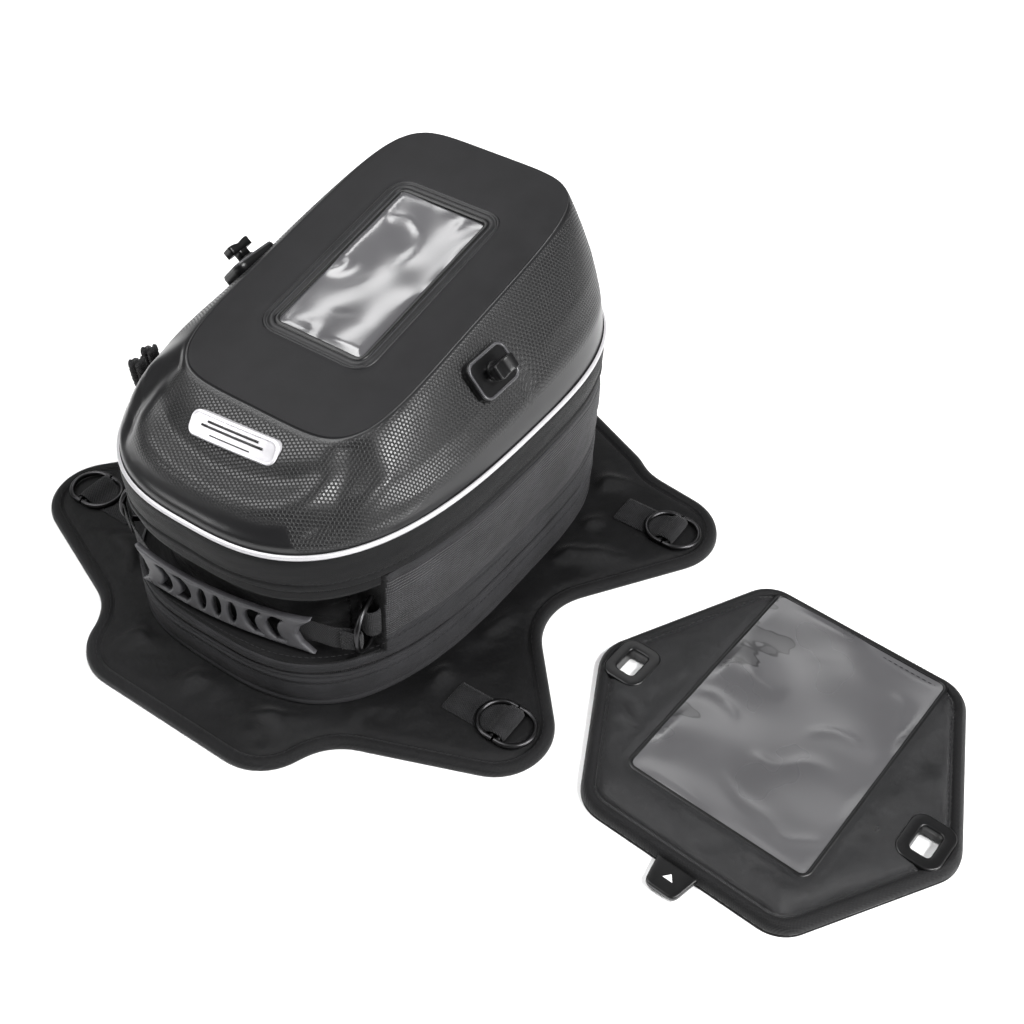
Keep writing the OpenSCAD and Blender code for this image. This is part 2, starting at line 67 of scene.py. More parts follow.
HANDLE_X, HANDLE_Y, HANDLE_Z = 97.5, -124.0, 70.0
GRIP_X, GRIP_Y, GRIP_Z, GRIP_TURN = 4.0, -167.0, 62.0, math.radians(6.5)
GRIP_L, GRIP_H, GRIP_BOW = 140.0, 33.0, 340.0
RING_X, RING_Y, RING_Z, WIRE_R = 189.5, 106.3, 8.7, 1.9
WEBBING_W, TAB_L = 25.0, 44.0
CASE_X, CASE_Y, CASE_TURN = 339.5, -26.2, math.radians(-4.2)
CASE_MID, CASE_WINDOW_W, CASE_WINDOW_L = 25.0, 130.0, 185.0
SOCKET_X, HOLE_W, HOLE_L = 108.8, 14.0, 20.0
SLIDERS = {"front": (204.5, 12.0), "rear": (200.0, 8.5)}  # degrees: angle round the bag, turn
SIDES = ((-1, "left"), (1, "right"))
FRONT_Y = -60        # the recess and its wall lie in front of this
HINGE_HALF = 70      # half the rear hinge's width

ROUND = 288          # points round the bag
UV = "Cloth"         # UV map in metres on the cloth

# ---------- shapes in numbers ----------


def mix(a, b, t):
    return a + (b - a) * t


def curl(v, p):
    return np.sign(v) * np.abs(v) ** p


def smooth(v, low, high):
    t = np.clip((v - low) / (high - low), 0, 1)
    return t * t * (3 - 2 * t)


def bump(v, centre, width):
    return np.exp(-((v - centre) / width) ** 2)


def lengths(p):
    """Length along a path up to each of its points."""
    return np.concatenate([[0], np.cumsum(np.linalg.norm(np.diff(p, axis=0), axis=1))])


def along(p, s, at):
    """Points at lengths at along a path p, whose own points lie at lengths s."""
    return np.stack([np.interp(at, s, p[:, k]) for k in range(p.shape[1])], -1)


def at_height(points, z=0.0):
    """Flat points lifted to a height."""
    return np.column_stack([points, np.zeros(len(points)) + z])


def circle(a):
    return np.stack([np.cos(a), np.sin(a)], -1)


def rim(a, z, inset=0.0):
    """The bag's outline at angles a and heights z."""
    a, z = np.broadcast_arrays(np.asarray(a, float), np.asarray(z, float))
    t = z / SEAM_Z
    p = 2 / mix(CURVE_BASE, CURVE_TOP, t)
    reach = np.where(np.sin(a) < 0, mix(FRONT_BASE, FRONT_TOP, t), mix(REAR_BASE, REAR_TOP, t))
    x = (BAG_W - inset) * curl(np.cos(a), p)
    return np.stack([x, BAG_MID + (reach - inset) * curl(np.sin(a), p), z], -1)


def panel_edge(a, inset=0.0):
    """The outline of the lid's smooth top panel."""
    middle, half = (PANEL_FRONT + PANEL_REAR) / 2, (PANEL_REAR - PANEL_FRONT) / 2 - inset
    x = (PANEL_W - inset) * curl(np.cos(a), 2 / PANEL_CURVE)
    y = middle + half * curl(np.sin(a), 2 / PANEL_CURVE)
    return np.stack([x, y, PANEL_Z + math.tan(PANEL_TILT) * (y - WINDOW_Y)], -1)


def even_angles(n, z=90.0):
    """Angles that are evenly spaced along the bag's outline, from the middle of its back."""
    a = np.linspace(0, TAU, 14401) + TAU / 4
    s = lengths(rim(a, z))
    return np.interp(np.arange(n) / n * s[-1], s, a), s[-1]


def outward(p):
    """Outward normals, level, of closed outlines that run anticlockwise."""
    d = np.roll(p, -1, -2) - np.roll(p, 1, -2)
    n = np.stack([d[..., 1], -d[..., 0], np.zeros(d.shape[:-1])], -1)
    return n / np.maximum(np.linalg.norm(n, axis=-1, keepdims=True), 1e-9)


def swell(p, size, seed, octaves=3):
    """Smooth seeded noise, about -1 to 1, at points p."""
    rng = np.random.default_rng(seed)
    total, out = 0.0, np.zeros(p.shape[:-1])
    for o in range(octaves):
        for _ in range(5):
            d = rng.normal(size=3)
            d *= TAU / size * 2 ** o * rng.uniform(0.7, 1.3) / np.linalg.norm(d)
            out += 0.5 ** o * np.sin(p @ d + rng.uniform(0, TAU))
        total += 0.5 ** o * 2.2
    return out / total


def inside(points, loop):
    """Which points lie inside a closed outline."""
    x, y = points[:, 0][:, None], points[:, 1][:, None]
    a, b = loop, np.roll(loop, -1, 0)
    crosses = (a[:, 1] > y) != (b[:, 1] > y)
    slope = (b[:, 0] - a[:, 0]) / np.where(b[:, 1] == a[:, 1], 1e-9, b[:, 1] - a[:, 1])
    return (crosses & (x < a[:, 0] + (y - a[:, 1]) * slope)).sum(1) % 2 == 1


def edge_distance(points, loops):
    """Distance from each point to the nearest outline."""
    best = np.full(len(points), 1e9)
    for loop in loops:
        a, b = loop, np.roll(loop, -1, 0)
        d = b - a
        long = np.maximum((d ** 2).sum(1), 1e-12)
        for start in range(0, len(points), 4000):
            q = points[start:start + 4000, None]
            t = np.clip(((q - a) * d).sum(2) / long, 0, 1)
            gap = np.sqrt((((a + t[..., None] * d) - q) ** 2).sum(2)).min(1)
            best[start:start + 4000] = np.minimum(best[start:start + 4000], gap)
    return best


def resample(loop, step):
    """A closed outline with evenly spaced points."""
    p = np.vstack([loop, loop[:1]])
    s = lengths(p)
    n = max(8, round(s[-1] / step))
    return along(p, s, np.arange(n) / n * s[-1])


def anticlockwise(loop):
    a, b = loop, np.roll(loop, -1, 0)
    return loop if (a[:, 0] * b[:, 1] - b[:, 0] * a[:, 1]).sum() > 0 else loop[::-1]


def shrink(loop, d):
    """A closed anticlockwise outline moved inwards by d."""
    return loop - outward(at_height(loop))[:, :2] * d


def rounded_rectangle(w, l, r, step=1.5):
    """An anticlockwise rounded rectangle round the origin."""
    points = []
    for k, (sx, sy) in enumerate([(1, 1), (-1, 1), (-1, -1), (1, -1)]):
        a = np.linspace(0, TAU / 4, 9) + k * TAU / 4
        centre = np.array([sx * (w / 2 - r), sy * (l / 2 - r)])
        points.append(centre + r * circle(a))
    return resample(np.vstack(points), step)


def hull_of(points):
    """The convex outline round a set of points."""
    points = sorted(map(tuple, points))
    halves = []
    for run in (points, points[::-1]):
        chain = []
        for p in run:
            while len(chain) > 1:
                (ax, ay), (bx, by) = chain[-2:]
                if (bx - ax) * (p[1] - ay) - (by - ay) * (p[0] - ax) > 0:
                    break
                chain.pop()
            chain.append(p)
        halves += chain[:-1]
    return np.array(halves)


def turned(p, angle):
    """Points turned about the vertical."""
    c, s = math.cos(angle), math.sin(angle)
    x, y, z = np.moveaxis(p, -1, 0)
    return np.stack([x * c - y * s, x * s + y * c, z], -1)


# ---------- places ----------


def on_panel(p):
    """From the window's own plane to the row frame."""
    c, s = math.cos(PANEL_TILT), math.sin(PANEL_TILT)
    x, y, z = np.moveaxis(p, -1, 0)
    return np.stack([x, WINDOW_Y + y * c - z * s, PANEL_Z + y * s + z * c], -1)


def on_badge(p):
    """A little bowed and turned, leaning back on the lid's front."""
    c, s = math.cos(BADGE_TILT), math.sin(BADGE_TILT)
    x, y, z = np.moveaxis(p, -1, 0)
    z = z - x ** 2 / (2 * BADGE_BOW)
    q = np.stack([x, y * c - z * s, y * s + z * c], -1)
    return turned(q, BADGE_TURN) + BADGE_AT


def on_lock(side):
    """Local x runs down the lid's slope, y along the bag and z out of the lock."""
    c, s = math.cos(TAU / 4 - LOCK_TILT), math.sin(TAU / 4 - LOCK_TILT)

    def place(p):
        x, y, z = np.moveaxis(p, -1, 0)
        return np.stack([side * (LOCK_X + x * c + z * s), LOCK_Y + y, LOCK_Z - x * s + z * c], -1)
    return place


def on_case(p):
    return turned(p, CASE_TURN) + np.array([CASE_X, CASE_Y, 0])


def on_grip(p):
    """A flat x-z layout bent round the bag's front; y is the depth, negative outwards."""
    x, y, z = np.moveaxis(p, -1, 0)
    bent, reach = x / GRIP_BOW, GRIP_BOW - y
    q = np.stack([reach * np.sin(bent), GRIP_BOW - reach * np.cos(bent), z], -1)
    return turned(q, GRIP_TURN) + np.array([GRIP_X, GRIP_Y, GRIP_Z])


def on_ring(sx, sy):
    """A ring pair's place: x runs outwards."""
    def place(p):
        q = turned(p, 0 if sx > 0 else math.pi)
        return q + np.array([sx * RING_X, sy * RING_Y, 0])
    return place


def on_slider(a, z, turn):
    start = rim(math.radians(a), z)

    def place(p):
        return turned(p, math.radians(turn)) + start
    return place


# ---------- mesh builders ----------


def put(name, points, faces, uvs=None, material=None, place=None, grain=None):
    """A smooth mesh object. uvs holds one pair of millimetres for each corner of each face."""
    points = np.asarray(points, float)
    if place:
        points = place(points)
    mesh = bpy.data.meshes.new(name)
    mesh.from_pydata((points * MM).tolist(), [], [list(map(int, f)) for f in faces])
    layer = mesh.uv_layers.new(name=UV)
    if uvs is None:
        corner = np.zeros(len(mesh.loops), np.int32)
        mesh.loops.foreach_get("vertex_index", corner)
        uvs = points[corner][:, [0, 1]] + points[corner][:, [2, 2]] * [0.3, 0.8]
    layer.data.foreach_set("uv", (np.asarray(uvs, float) * MM).astype(np.float32).ravel())
    mesh.polygons.foreach_set("use_smooth", [True] * len(mesh.polygons))
    if grain is not None:
        mesh.attributes.new("grain", "FLOAT", "POINT").data.foreach_set(
            "value", np.asarray(grain, np.float32).ravel())
    mesh.validate()
    mesh.update()
    o = bpy.data.objects.new(name, mesh)
    bpy.context.scene.collection.objects.link(o)
    if material:
        mesh.materials.append(material)
    return o


def quads(m, n, closed=True):
    """The faces between m rows of n points, with each face's row and column."""
    k, i = np.meshgrid(np.arange(m - 1), np.arange(n if closed else n - 1), indexing="ij")
    k, i = k.ravel(), i.ravel()
    j = (i + 1) % n
    return np.stack([k * n + i, k * n + j, (k + 1) * n + j, (k + 1) * n + i], -1), k, i


def grid(name, p, material, closed=True, uv=None, thick=0.0, place=None, grain=None, cap=False):
    """A surface through rows of points, closed round each row if closed is true."""
    m, n = p.shape[:2]
    step = np.linalg.norm(np.diff(np.concatenate([p, p[:, :1]], 1), axis=1), axis=2).mean(0)
    rise = np.linalg.norm(np.diff(p, axis=0), axis=2).mean(1)
    if uv is None:
        u = np.concatenate([[0], np.cumsum(step)])
        v = np.concatenate([[0], np.cumsum(rise)])
        uv = np.stack(np.broadcast_arrays(u[None, :], v[:, None]), -1)
    faces, k, i = quads(m, n, closed)
    uvs = np.stack([uv[k, i], uv[k, i + 1], uv[k + 1, i + 1], uv[k + 1, i]], 1).reshape(-1, 2)
    faces, uvs = faces.tolist(), uvs.tolist()
    if cap:
        for row, order in ((0, -1), (m - 1, 1)):
            ring = (row * n + np.arange(n))[::order]
            faces.append(ring.tolist())
            uvs += [[0.0, 0.0]] * n
    o = put(name, p.reshape(-1, 3), faces, uvs, material, place, grain)
    if thick:
        solid = o.modifiers.new("thickness", "SOLIDIFY")
        solid.thickness, solid.offset = thick * MM, -1
    return o


def sheet_mesh(loops, rows, inner_step, height):
    """Triangles between closed outlines: loops[0] is the outside and the rest are holes.
    rows are distances in from every outline that get a row of points of their own."""
    rings, edges, count = [], [], 0
    for index, loop in enumerate(loops):
        for d in rows:
            ring = shrink(loop, d if index == 0 else -d)
            if d == rows[0]:
                n = len(ring)
                edges += [(count + i, count + (i + 1) % n) for i in range(n)]
            rings.append(ring)
            count += len(ring)
    low, high = loops[0].min(0), loops[0].max(0)
    if inner_step:
        gx, gy = np.meshgrid(np.arange(low[0], high[0], inner_step),
                             np.arange(low[1], high[1], inner_step * 0.87))
        gx = gx + (np.arange(gx.shape[0]) % 2)[:, None] * inner_step / 2
        points = np.stack([gx.ravel(), gy.ravel()], -1)
        keep = inside(points, loops[0])
        for hole in loops[1:]:
            keep &= ~inside(points, hole)
        points = points[keep]
        points = points[edge_distance(points, loops) > rows[-1] + inner_step * 0.6]
        rings.append(points)
    flat = np.vstack(rings)
    out, _, tris, _, _, _ = delaunay_2d_cdt([Vector(p) for p in flat.tolist()], edges, [], 0, 1e-5)
    out = np.array([tuple(p) for p in out])
    tris = np.array(tris)
    middle = out[tris].mean(1)
    keep = inside(middle, loops[0])
    for hole in loops[1:]:
        keep &= ~inside(middle, hole)
    tris = tris[keep]
    away = edge_distance(out, loops)
    return np.column_stack([out, height(out, away)]), tris, away


def slab(name, loops, low, height, material, rows=(0,), inner_step=0, place=None):
    """A closed solid between a flat underside at low and a top at height(points, distance)."""
    loops = [anticlockwise(loop) for loop in loops]
    top, tris, away = sheet_mesh(loops, rows, inner_step, height)
    n = len(top)
    under = top.copy()
    under[:, 2] = low if np.isscalar(low) else low(top[:, :2], away)
    a, b, c = top[tris[:, 0]], top[tris[:, 1]], top[tris[:, 2]]
    area = (b[:, 0] - a[:, 0]) * (c[:, 1] - a[:, 1]) - (b[:, 1] - a[:, 1]) * (c[:, 0] - a[:, 0])
    tris = np.where((area > 0)[:, None], tris, tris[:, ::-1])
    sides = np.concatenate([tris[:, [0, 1]], tris[:, [1, 2]], tris[:, [2, 0]]])
    known = set(map(tuple, sides.tolist()))
    rim_edges = [(i, j) for i, j in known if (j, i) not in known]
    faces = tris.tolist() + (tris[:, ::-1] + n).tolist()
    faces += [[j, i, i + n, j + n] for i, j in rim_edges]
    points = np.vstack([top, under])
    uvs = np.vstack([points[f][:, :2] + (points[f][:, 2:] if len(f) == 4 else 0) for f in faces])
    return put(name, points, faces, uvs, material, place)


def wavy(top, high, size, seed):
    """A nearly level height, swelling by about high."""
    return lambda points, away: top + high * swell(at_height(points), size, seed)


def rounding(top, r):
    """A height that rounds off over the last r from an edge."""
    def height(points, away):
        t = np.clip(away / r, 0, 1)
        return top - r * (1 - np.sqrt(np.clip(1 - (1 - t) ** 2, 0, 1)))
    return height


def rows_for(r):
    """Distances of the rows that follow a rounded edge."""
    return tuple(r * (1 - math.cos(k * TAU / 16)) for k in range(4)) + (r,)


def frames_of(path, closed=False):
    """Two directions square to a path at each of its points."""
    t = np.roll(path, -1, 0) - np.roll(path, 1, 0)
    if not closed:
        t[0], t[-1] = path[1] - path[0], path[-1] - path[-2]
    t /= np.linalg.norm(t, axis=1, keepdims=True)
    up = np.array([0, 0, 1.0]) if abs(t[0, 2]) < 0.9 else np.array([1.0, 0, 0])
    side = np.cross(t[0], up)
    sides = []
    for d in t:
        side = side - d * (side @ d)
        side /= np.linalg.norm(side)
        sides.append(side)
    sides = np.array(sides)
    return sides, np.cross(sides, t)


def tube(path, radius, around=10, closed=False):
    """Points of a tube along a path, as rows of a grid."""
    a, b = frames_of(path, closed)
    angles = np.arange(around) / around * TAU
    r = np.broadcast_to(np.asarray(radius, float), (len(path),))[:, None]
    if closed:
        path, a, b = (np.vstack([v, v[:1]]) for v in (path, a, b))
        r = np.vstack([r, r[:1]])
    ring = np.cos(angles)[None, :, None] * a[:, None] + np.sin(angles)[None, :, None] * b[:, None]
    return path[:, None] + ring * r[..., None]


def joined(name, parts, material):
    """One object from several grids of points, each with closed rows and capped ends."""
    points, faces, count = [], [], 0
    for p in parts:
        m, n = p.shape[:2]
        faces += (quads(m, n)[0] + count).tolist()
        faces.append((count + np.arange(n))[::-1].tolist())
        faces.append((count + (m - 1) * n + np.arange(n)).tolist())
        points.append(p.reshape(-1, 3))
        count += m * n
    return put(name, np.vstack(points), faces, None, material)


def stitches(name, path, body, length=2.8, gap=1.4, radius=0.24):
    """A row of separate thread stitches along a path of points."""
    s = lengths(path)
    parts = []
    for start in np.arange(gap, s[-1] - length, length + gap):
        p = along(path, s, start + np.linspace(0, 1, 5) * length)
        parts.append(tube(p, radius * np.array([0.35, 0.9, 1, 0.9, 0.35]), 6))
    belongs(joined(name, parts, M_THREAD), body, "coated_fabric")


def strap_steps(s):
    """How many points a strap has along lengths s."""
    return max(6, round(s[-1] / 1.5))


def strap(name, path, across, width, thick, material, place=None, sag=None):
    """Flat webbing: its middle line, the direction across it, its width and its thickness."""
    path = np.asarray(path, float)
    across = np.broadcast_to(np.asarray(across, float), path.shape)
    s = lengths(path)
    at = np.linspace(0, s[-1], strap_steps(s))
    path, across = along(path, s, at), along(across, s, at)
    for _ in range(2):
        path[1:-1] = (path[:-2] + 2 * path[1:-1] + path[2:]) / 4
    t = np.gradient(path, axis=0)
    face = np.cross(t, across)
    face /= np.linalg.norm(face, axis=1, keepdims=True)
    half, h = np.broadcast_to(np.asarray(width, float) / 2, (len(at),)), thick / 2
    steps = np.linspace(-1, 1, 15)
    top = [(c, h * (1 - 0.75 * abs(c) ** 8)) for c in steps]
    profile = np.array(top + [(c, -y) for c, y in top[::-1]])
    p = path[:, None] + across[:, None] * (profile[:, 0] * half[:, None])[..., None]
    p = p + face[:, None] * profile[None, :, 1:]
    if sag is not None:
        p = p + face[:, None] * sag(at[:, None] / at[-1], profile[None, :, 0])[..., None]
    u = np.concatenate([profile[:, 0], [profile[0, 0]]])[None, :] * half[:, None]
    uv = np.stack(np.broadcast_arrays(u, at[:, None]), -1)
    return grid(name, p, material, uv=uv, place=place, cap=True)


def paint(o, index):
    """Gives each face of a piece the material of that index."""
    o.data.polygons.foreach_set("material_index", np.asarray(index).astype(np.int32))


def face_middles(o):
    return np.array([f.center for f in o.data.polygons]) / MM


# ---------- materials ----------


def tree_of(name):
    m = bpy.data.materials.new(name)
    m.use_nodes = True
    return m, m.node_tree, m.node_tree.nodes["Principled BSDF"]


def add(tree, kind, **values):
    """A node: a socket is linked, and any other value is set on the input or attribute of that
    name. in0 and in1 are its first two inputs, whatever they are called."""
    node = tree.nodes.new("ShaderNode" + kind)
    for key, value in values.items():
        if hasattr(node, key) and not isinstance(value, bpy.types.NodeSocket):
            setattr(node, key, value)
            continue
        numbered = key in ("in0", "in1")
        socket = node.inputs[int(key[2]) if numbered else key.replace("_", " ")]
        if isinstance(value, bpy.types.NodeSocket):
            tree.links.new(value, socket)
        else:
            socket.default_value = value
    return node


def cloth_place(tree):
    return add(tree, "UVMap", uv_map=UV).outputs[0]


def maths(tree, operation, a, b=None):
    values = {"in0": a}
    if b is not None:
        values["in1"] = b
    return add(tree, "Math", operation=operation, **values).outputs[0]


def wave_along(tree, place, direction, pitch):
    """A cosine across a surface; direction is in its UV plane and pitch in millimetres."""
    k = TAU / (pitch * MM)
    dot = add(tree, "VectorMath", operation="DOT_PRODUCT", in0=place,
              in1=(direction[0] * k, direction[1] * k, 0)).outputs["Value"]
    return maths(tree, "COSINE", dot)


def shades(tree, factor, dark, light, low=0.3, high=0.7):
    ramp = add(tree, "ValToRGB", Fac=factor)
    ramp.color_ramp.elements[0].position, ramp.color_ramp.elements[1].position = low, high
    ramp.color_ramp.elements[0].color, ramp.color_ramp.elements[1].color = (*dark, 1), (*light, 1)
    return ramp.outputs[0]


def grey(v, blue=1.08):
    return (v, v * 0.985, v * blue)


def noise_at(tree, scale, detail=4.0, rough=0.55, place=None):
    place = place or add(tree, "TexCoord").outputs["Object"]
    return add(tree, "TexNoise", Vector=place, Scale=scale, Detail=detail,
               Roughness=rough).outputs["Fac"]


def bumps(tree, height, distance, strength=1.0, under=None):
    values = {"Height": height, "Distance": distance * MM, "Strength": strength}
    if under is not None:
        values["Normal"] = under
    return add(tree, "Bump", **values).outputs[0]


def finish_with(tree, shader, colour, rough, normal, **fixed):
    tree.links.new(colour, shader.inputs["Base Color"])
    if isinstance(rough, bpy.types.NodeSocket):
        tree.links.new(rough, shader.inputs["Roughness"])
    else:
        shader.inputs["Roughness"].default_value = rough
    if normal is not None:
        tree.links.new(normal, shader.inputs["Normal"])
    for key, value in fixed.items():
        shader.inputs[key.replace("_", " ")].default_value = value


def rough_map(tree, factor, low, high):
    return add(tree, "MapRange", Value=factor, To_Min=low, To_Max=high).outputs[0]


def plain_weave(name, tone, pitch=0.8, rough=0.6, depth=0.12, creases=0.5, spec=0.2):
    """Coated polyester: a fine plain weave under soft creases and faint dust."""
    m, t, s = tree_of(name)
    place = cloth_place(t)
    weft, warp = wave_along(t, place, (1, 0), pitch), wave_along(t, place, (0, 1), pitch)
    weave = maths(t, "MULTIPLY", weft, warp)
    cloud = noise_at(t, 38)
    fine = noise_at(t, 900, 2)
    colour = shades(t, maths(t, "ADD", cloud, maths(t, "MULTIPLY", fine, 0.35)),
                    grey(tone * 0.75), grey(tone * 1.35), 0.45, 0.9)
    crease = bumps(t, noise_at(t, 55, 3, 0.5), 1.2 * creases, 0.6)
    normal = bumps(t, weave, depth, 0.7, crease)
    finish_with(t, s, colour, rough_map(t, cloud, rough - 0.08, rough + 0.1), normal,
                Sheen_Weight=0.04, Sheen_Roughness=0.45, Specular_IOR_Level=spec)
    return m


def rib_weave(name, tone, pitch=1.9):
    """Ribbed fabric: fine level ribs, broken by the threads that cross them."""
    m, t, s = tree_of(name)
    place = cloth_place(t)
    ribs = wave_along(t, place, (0, 1), pitch)
    threads = wave_along(t, place, (1, 0), pitch * 0.55)
    height = maths(t, "ADD", ribs, maths(t, "MULTIPLY", threads, 0.35))
    cloud = noise_at(t, 30)
    # Painted shade: the colour darkens in the grooves between ribs and lightens on their crests,
    # over a random cloud.
    shade = maths(t, "ADD", maths(t, "MULTIPLY", ribs, 0.22), cloud)
    colour = shades(t, shade, grey(tone * 0.4), grey(tone * 1.8), 0.25, 0.8)
    normal = bumps(t, height, 0.4, 0.9, bumps(t, noise_at(t, 60, 3), 0.6, 0.4))
    finish_with(t, s, colour, 0.62, normal, Sheen_Weight=0.08, Sheen_Roughness=0.4,
                Specular_IOR_Level=0.22)
    return m


def webbing(name, tone):
    """Heavy webbing: a twill of small slanting blocks."""
    m, t, s = tree_of(name)
    place = cloth_place(t)
    twill = wave_along(t, place, (1, 0.6), 1.5)
    cross = wave_along(t, place, (0, 1), 1.1)
    height = maths(t, "ADD", twill, maths(t, "MULTIPLY", cross, 0.5))
    # Painted shade: the colour darkens in the twill's grooves and lightens on its crests, over a
    # random cloud.
    colour = shades(t, maths(t, "ADD", maths(t, "MULTIPLY", twill, 0.2), noise_at(t, 120)),
                    grey(tone * 0.6), grey(tone * 1.5), 0.3, 0.8)
    finish_with(t, s, colour, 0.6, bumps(t, height, 0.22, 0.9), Sheen_Weight=0.06,
                Sheen_Roughness=0.4, Specular_IOR_Level=0.2)
    return m


def hexagon_grain(name, tone, pitch=2.7):
    """Moulded skin with raised hexagonal dots, smooth where the mesh says so."""
    m, t, s = tree_of(name)
    place = cloth_place(t)
    across = pitch * math.sqrt(3) / 2
    waves = [wave_along(t, place, (math.cos(a), math.sin(a)), across)
             for a in (0, TAU / 3, -TAU / 3)]
    total = maths(t, "ADD", maths(t, "ADD", waves[0], waves[1]), waves[2])
    dots = add(t, "MapRange", interpolation_type="SMOOTHSTEP", Value=total, From_Min=-1.35,
               From_Max=0.5).outputs[0]
    mask = add(t, "Attribute", attribute_name="grain").outputs["Fac"]
    dots = maths(t, "MULTIPLY", dots, mask)
    cloud = noise_at(t, 26)
    # Painted shade: the gaps between the dots are darkened in the colour, leaving the dot tops
    # lighter.
    gaps = maths(t, "MULTIPLY", maths(t, "SUBTRACT", 1.0, dots), mask)
    shade = maths(t, "SUBTRACT", maths(t, "MULTIPLY", cloud, 0.5), maths(t, "MULTIPLY", gaps, 0.9))
    colour = shades(t, maths(t, "ADD", shade, 0.75), grey(tone * 0.2), grey(tone * 1.1), 0.1, 1.1)
    skin = bumps(t, noise_at(t, 1400, 2), 0.05, 0.5)
    normal = bumps(t, dots, 0.4, 0.8, skin)
    dull = maths(t, "ADD", rough_map(t, cloud, 0.27, 0.32), maths(t, "MULTIPLY", gaps, 0.4))
    finish_with(t, s, colour, dull, normal, Specular_IOR_Level=0.42)
    return m


def satin(name, tone, rough, grain, scale=1500, spec=0.5, blue=1.06, edge_highlight=0.0):
    """Smooth moulded plastic, rubber or painted metal, with a fine skin and a painted highlight on
    its sharp edges.
    """
    m, t, s = tree_of(name)
    cloud = noise_at(t, 45)
    colour = shades(t, cloud, grey(tone * 0.82, blue), grey(tone * 1.2, blue))
    # Painted highlight: sharp edges, found by their pointiness, are lightened towards a pale grey.
    if edge_highlight:
        point = add(t, "NewGeometry").outputs["Pointiness"]
        edge = add(t, "MapRange", Value=point, From_Min=0.52, From_Max=0.6).outputs[0]
        edge = maths(t, "MULTIPLY", edge, edge_highlight)
        highlight_colour = (*grey(min(tone * 4, 0.6)), 1)
        colour = add(t, "MixRGB", Fac=edge, Color1=colour, Color2=highlight_colour).outputs[0]
    finish_with(t, s, colour, rough_map(t, cloud, rough - 0.05, rough + 0.07),
                bumps(t, noise_at(t, scale, 2), grain, 0.6), Specular_IOR_Level=spec)
    return m


def metal(name, tone, rough, scratch=0.02, metallic=1.0):
    m, t, s = tree_of(name)
    cloud = noise_at(t, 90)
    colour = shades(t, cloud, grey(tone * 0.85, 1.02), grey(tone * 1.1, 1.02))
    brushed = add(t, "Mapping", Vector=add(t, "TexCoord").outputs["Object"],
                  Scale=(60, 1600, 1600)).outputs[0]
    lines = add(t, "TexNoise", Vector=brushed, Scale=1.0, Detail=3.0).outputs["Fac"]
    finish_with(t, s, colour, rough_map(t, lines, rough - 0.06, rough + 0.1),
                bumps(t, lines, scratch, 0.5), Metallic=metallic)
    return m


def reflective(name):
    """Reflective piping: silver cloth full of fine glass beads."""
    m, t, s = tree_of(name)
    beads = add(t, "TexVoronoi", Vector=add(t, "TexCoord").outputs["Object"], Scale=2600.0)
    colour = shades(t, beads.outputs["Distance"], grey(0.5, 1.01), grey(0.36, 1.02), 0.1, 0.9)
    finish_with(t, s, colour, 0.36, bumps(t, beads.outputs["Distance"], 0.04, 0.5),
                Metallic=0.25, Specular_IOR_Level=0.7)
    return m


def film(name, cover, rough, tone, patches=0.0, middle=(0, 0, 0), turn=0.0):
    """Soft film that is a little milky: it covers part of what lies under it.
    In patches, mostly along one edge, it clings to the sheet below: darker, with a dark edge."""
    m, t, s = tree_of(name)
    place = add(t, "TexCoord").outputs["Object"]
    haze = noise_at(t, 22, 2, 0.4, place)
    local = add(t, "Mapping", vector_type="TEXTURE", Vector=place,
                Location=[v * MM for v in middle], Rotation=(0, 0, turn),
                Scale=(2.0, 1, 1)).outputs[0]
    across = add(t, "SeparateXYZ", Vector=local).outputs[0]
    lean = add(t, "MapRange", Value=across, From_Min=-0.032, From_Max=0.006, To_Min=0.1,
               To_Max=-0.17).outputs[0]
    cling = maths(t, "ADD", noise_at(t, 24, 3, 0.6, local), lean)
    patch = add(t, "MapRange", Value=cling, From_Min=0.57, From_Max=0.585).outputs[0]
    line = add(t, "MapRange", Value=maths(t, "ABSOLUTE", maths(t, "SUBTRACT", cling, 0.577)),
               From_Min=0.012, From_Max=0.0).outputs[0]
    dark = maths(t, "MULTIPLY", maths(t, "ADD", maths(t, "MULTIPLY", patch, 0.55), line), patches)
    colour = shades(t, haze, grey(tone * 0.88, 1.04), grey(tone * 1.06, 1.04))
    colour = add(t, "MixRGB", Fac=dark, Color1=colour, Color2=(*grey(0.01), 1)).outputs[0]
    ripple = bumps(t, noise_at(t, 26, 1, 0.3, place), 0.5, 0.3)
    finish_with(t, s, colour, rough_map(t, haze, rough * 0.8, rough * 1.3), ripple,
                IOR=1.5, Specular_IOR_Level=0.9, Alpha=cover)
    return m


M_MAT = plain_weave("mat_cloth", 0.003, 0.9, 0.38, creases=2.0, spec=0.13)
M_BIND = plain_weave("binding_tape", 0.004, 1.2, 0.5, depth=0.2, creases=0.3, spec=0.14)
M_BAND = plain_weave("band_cloth", 0.0035, 0.8, 0.55, creases=0.6, spec=0.13)
M_WALL = plain_weave("wall_cloth", 0.013, 1.1, 0.55, depth=0.2, creases=0.6, spec=0.17)
M_CASE = plain_weave("case_cloth", 0.006, 0.7, 0.3, creases=1.3, spec=0.26)
M_LINING = plain_weave("lining", 0.02, 0.7, 0.7, creases=0.3)
M_RIB = rib_weave("rib_cloth", 0.013)
M_WEB = webbing("webbing", 0.009)
M_CORD = webbing("cord", 0.006)
M_SHELL = hexagon_grain("moulded_grain", 0.0055)
M_PANEL = satin("smooth_panel", 0.0085, 0.5, 0.05, spec=0.12)
M_FRAME = satin("window_lip", 0.008, 0.4, 0.04, spec=0.25)
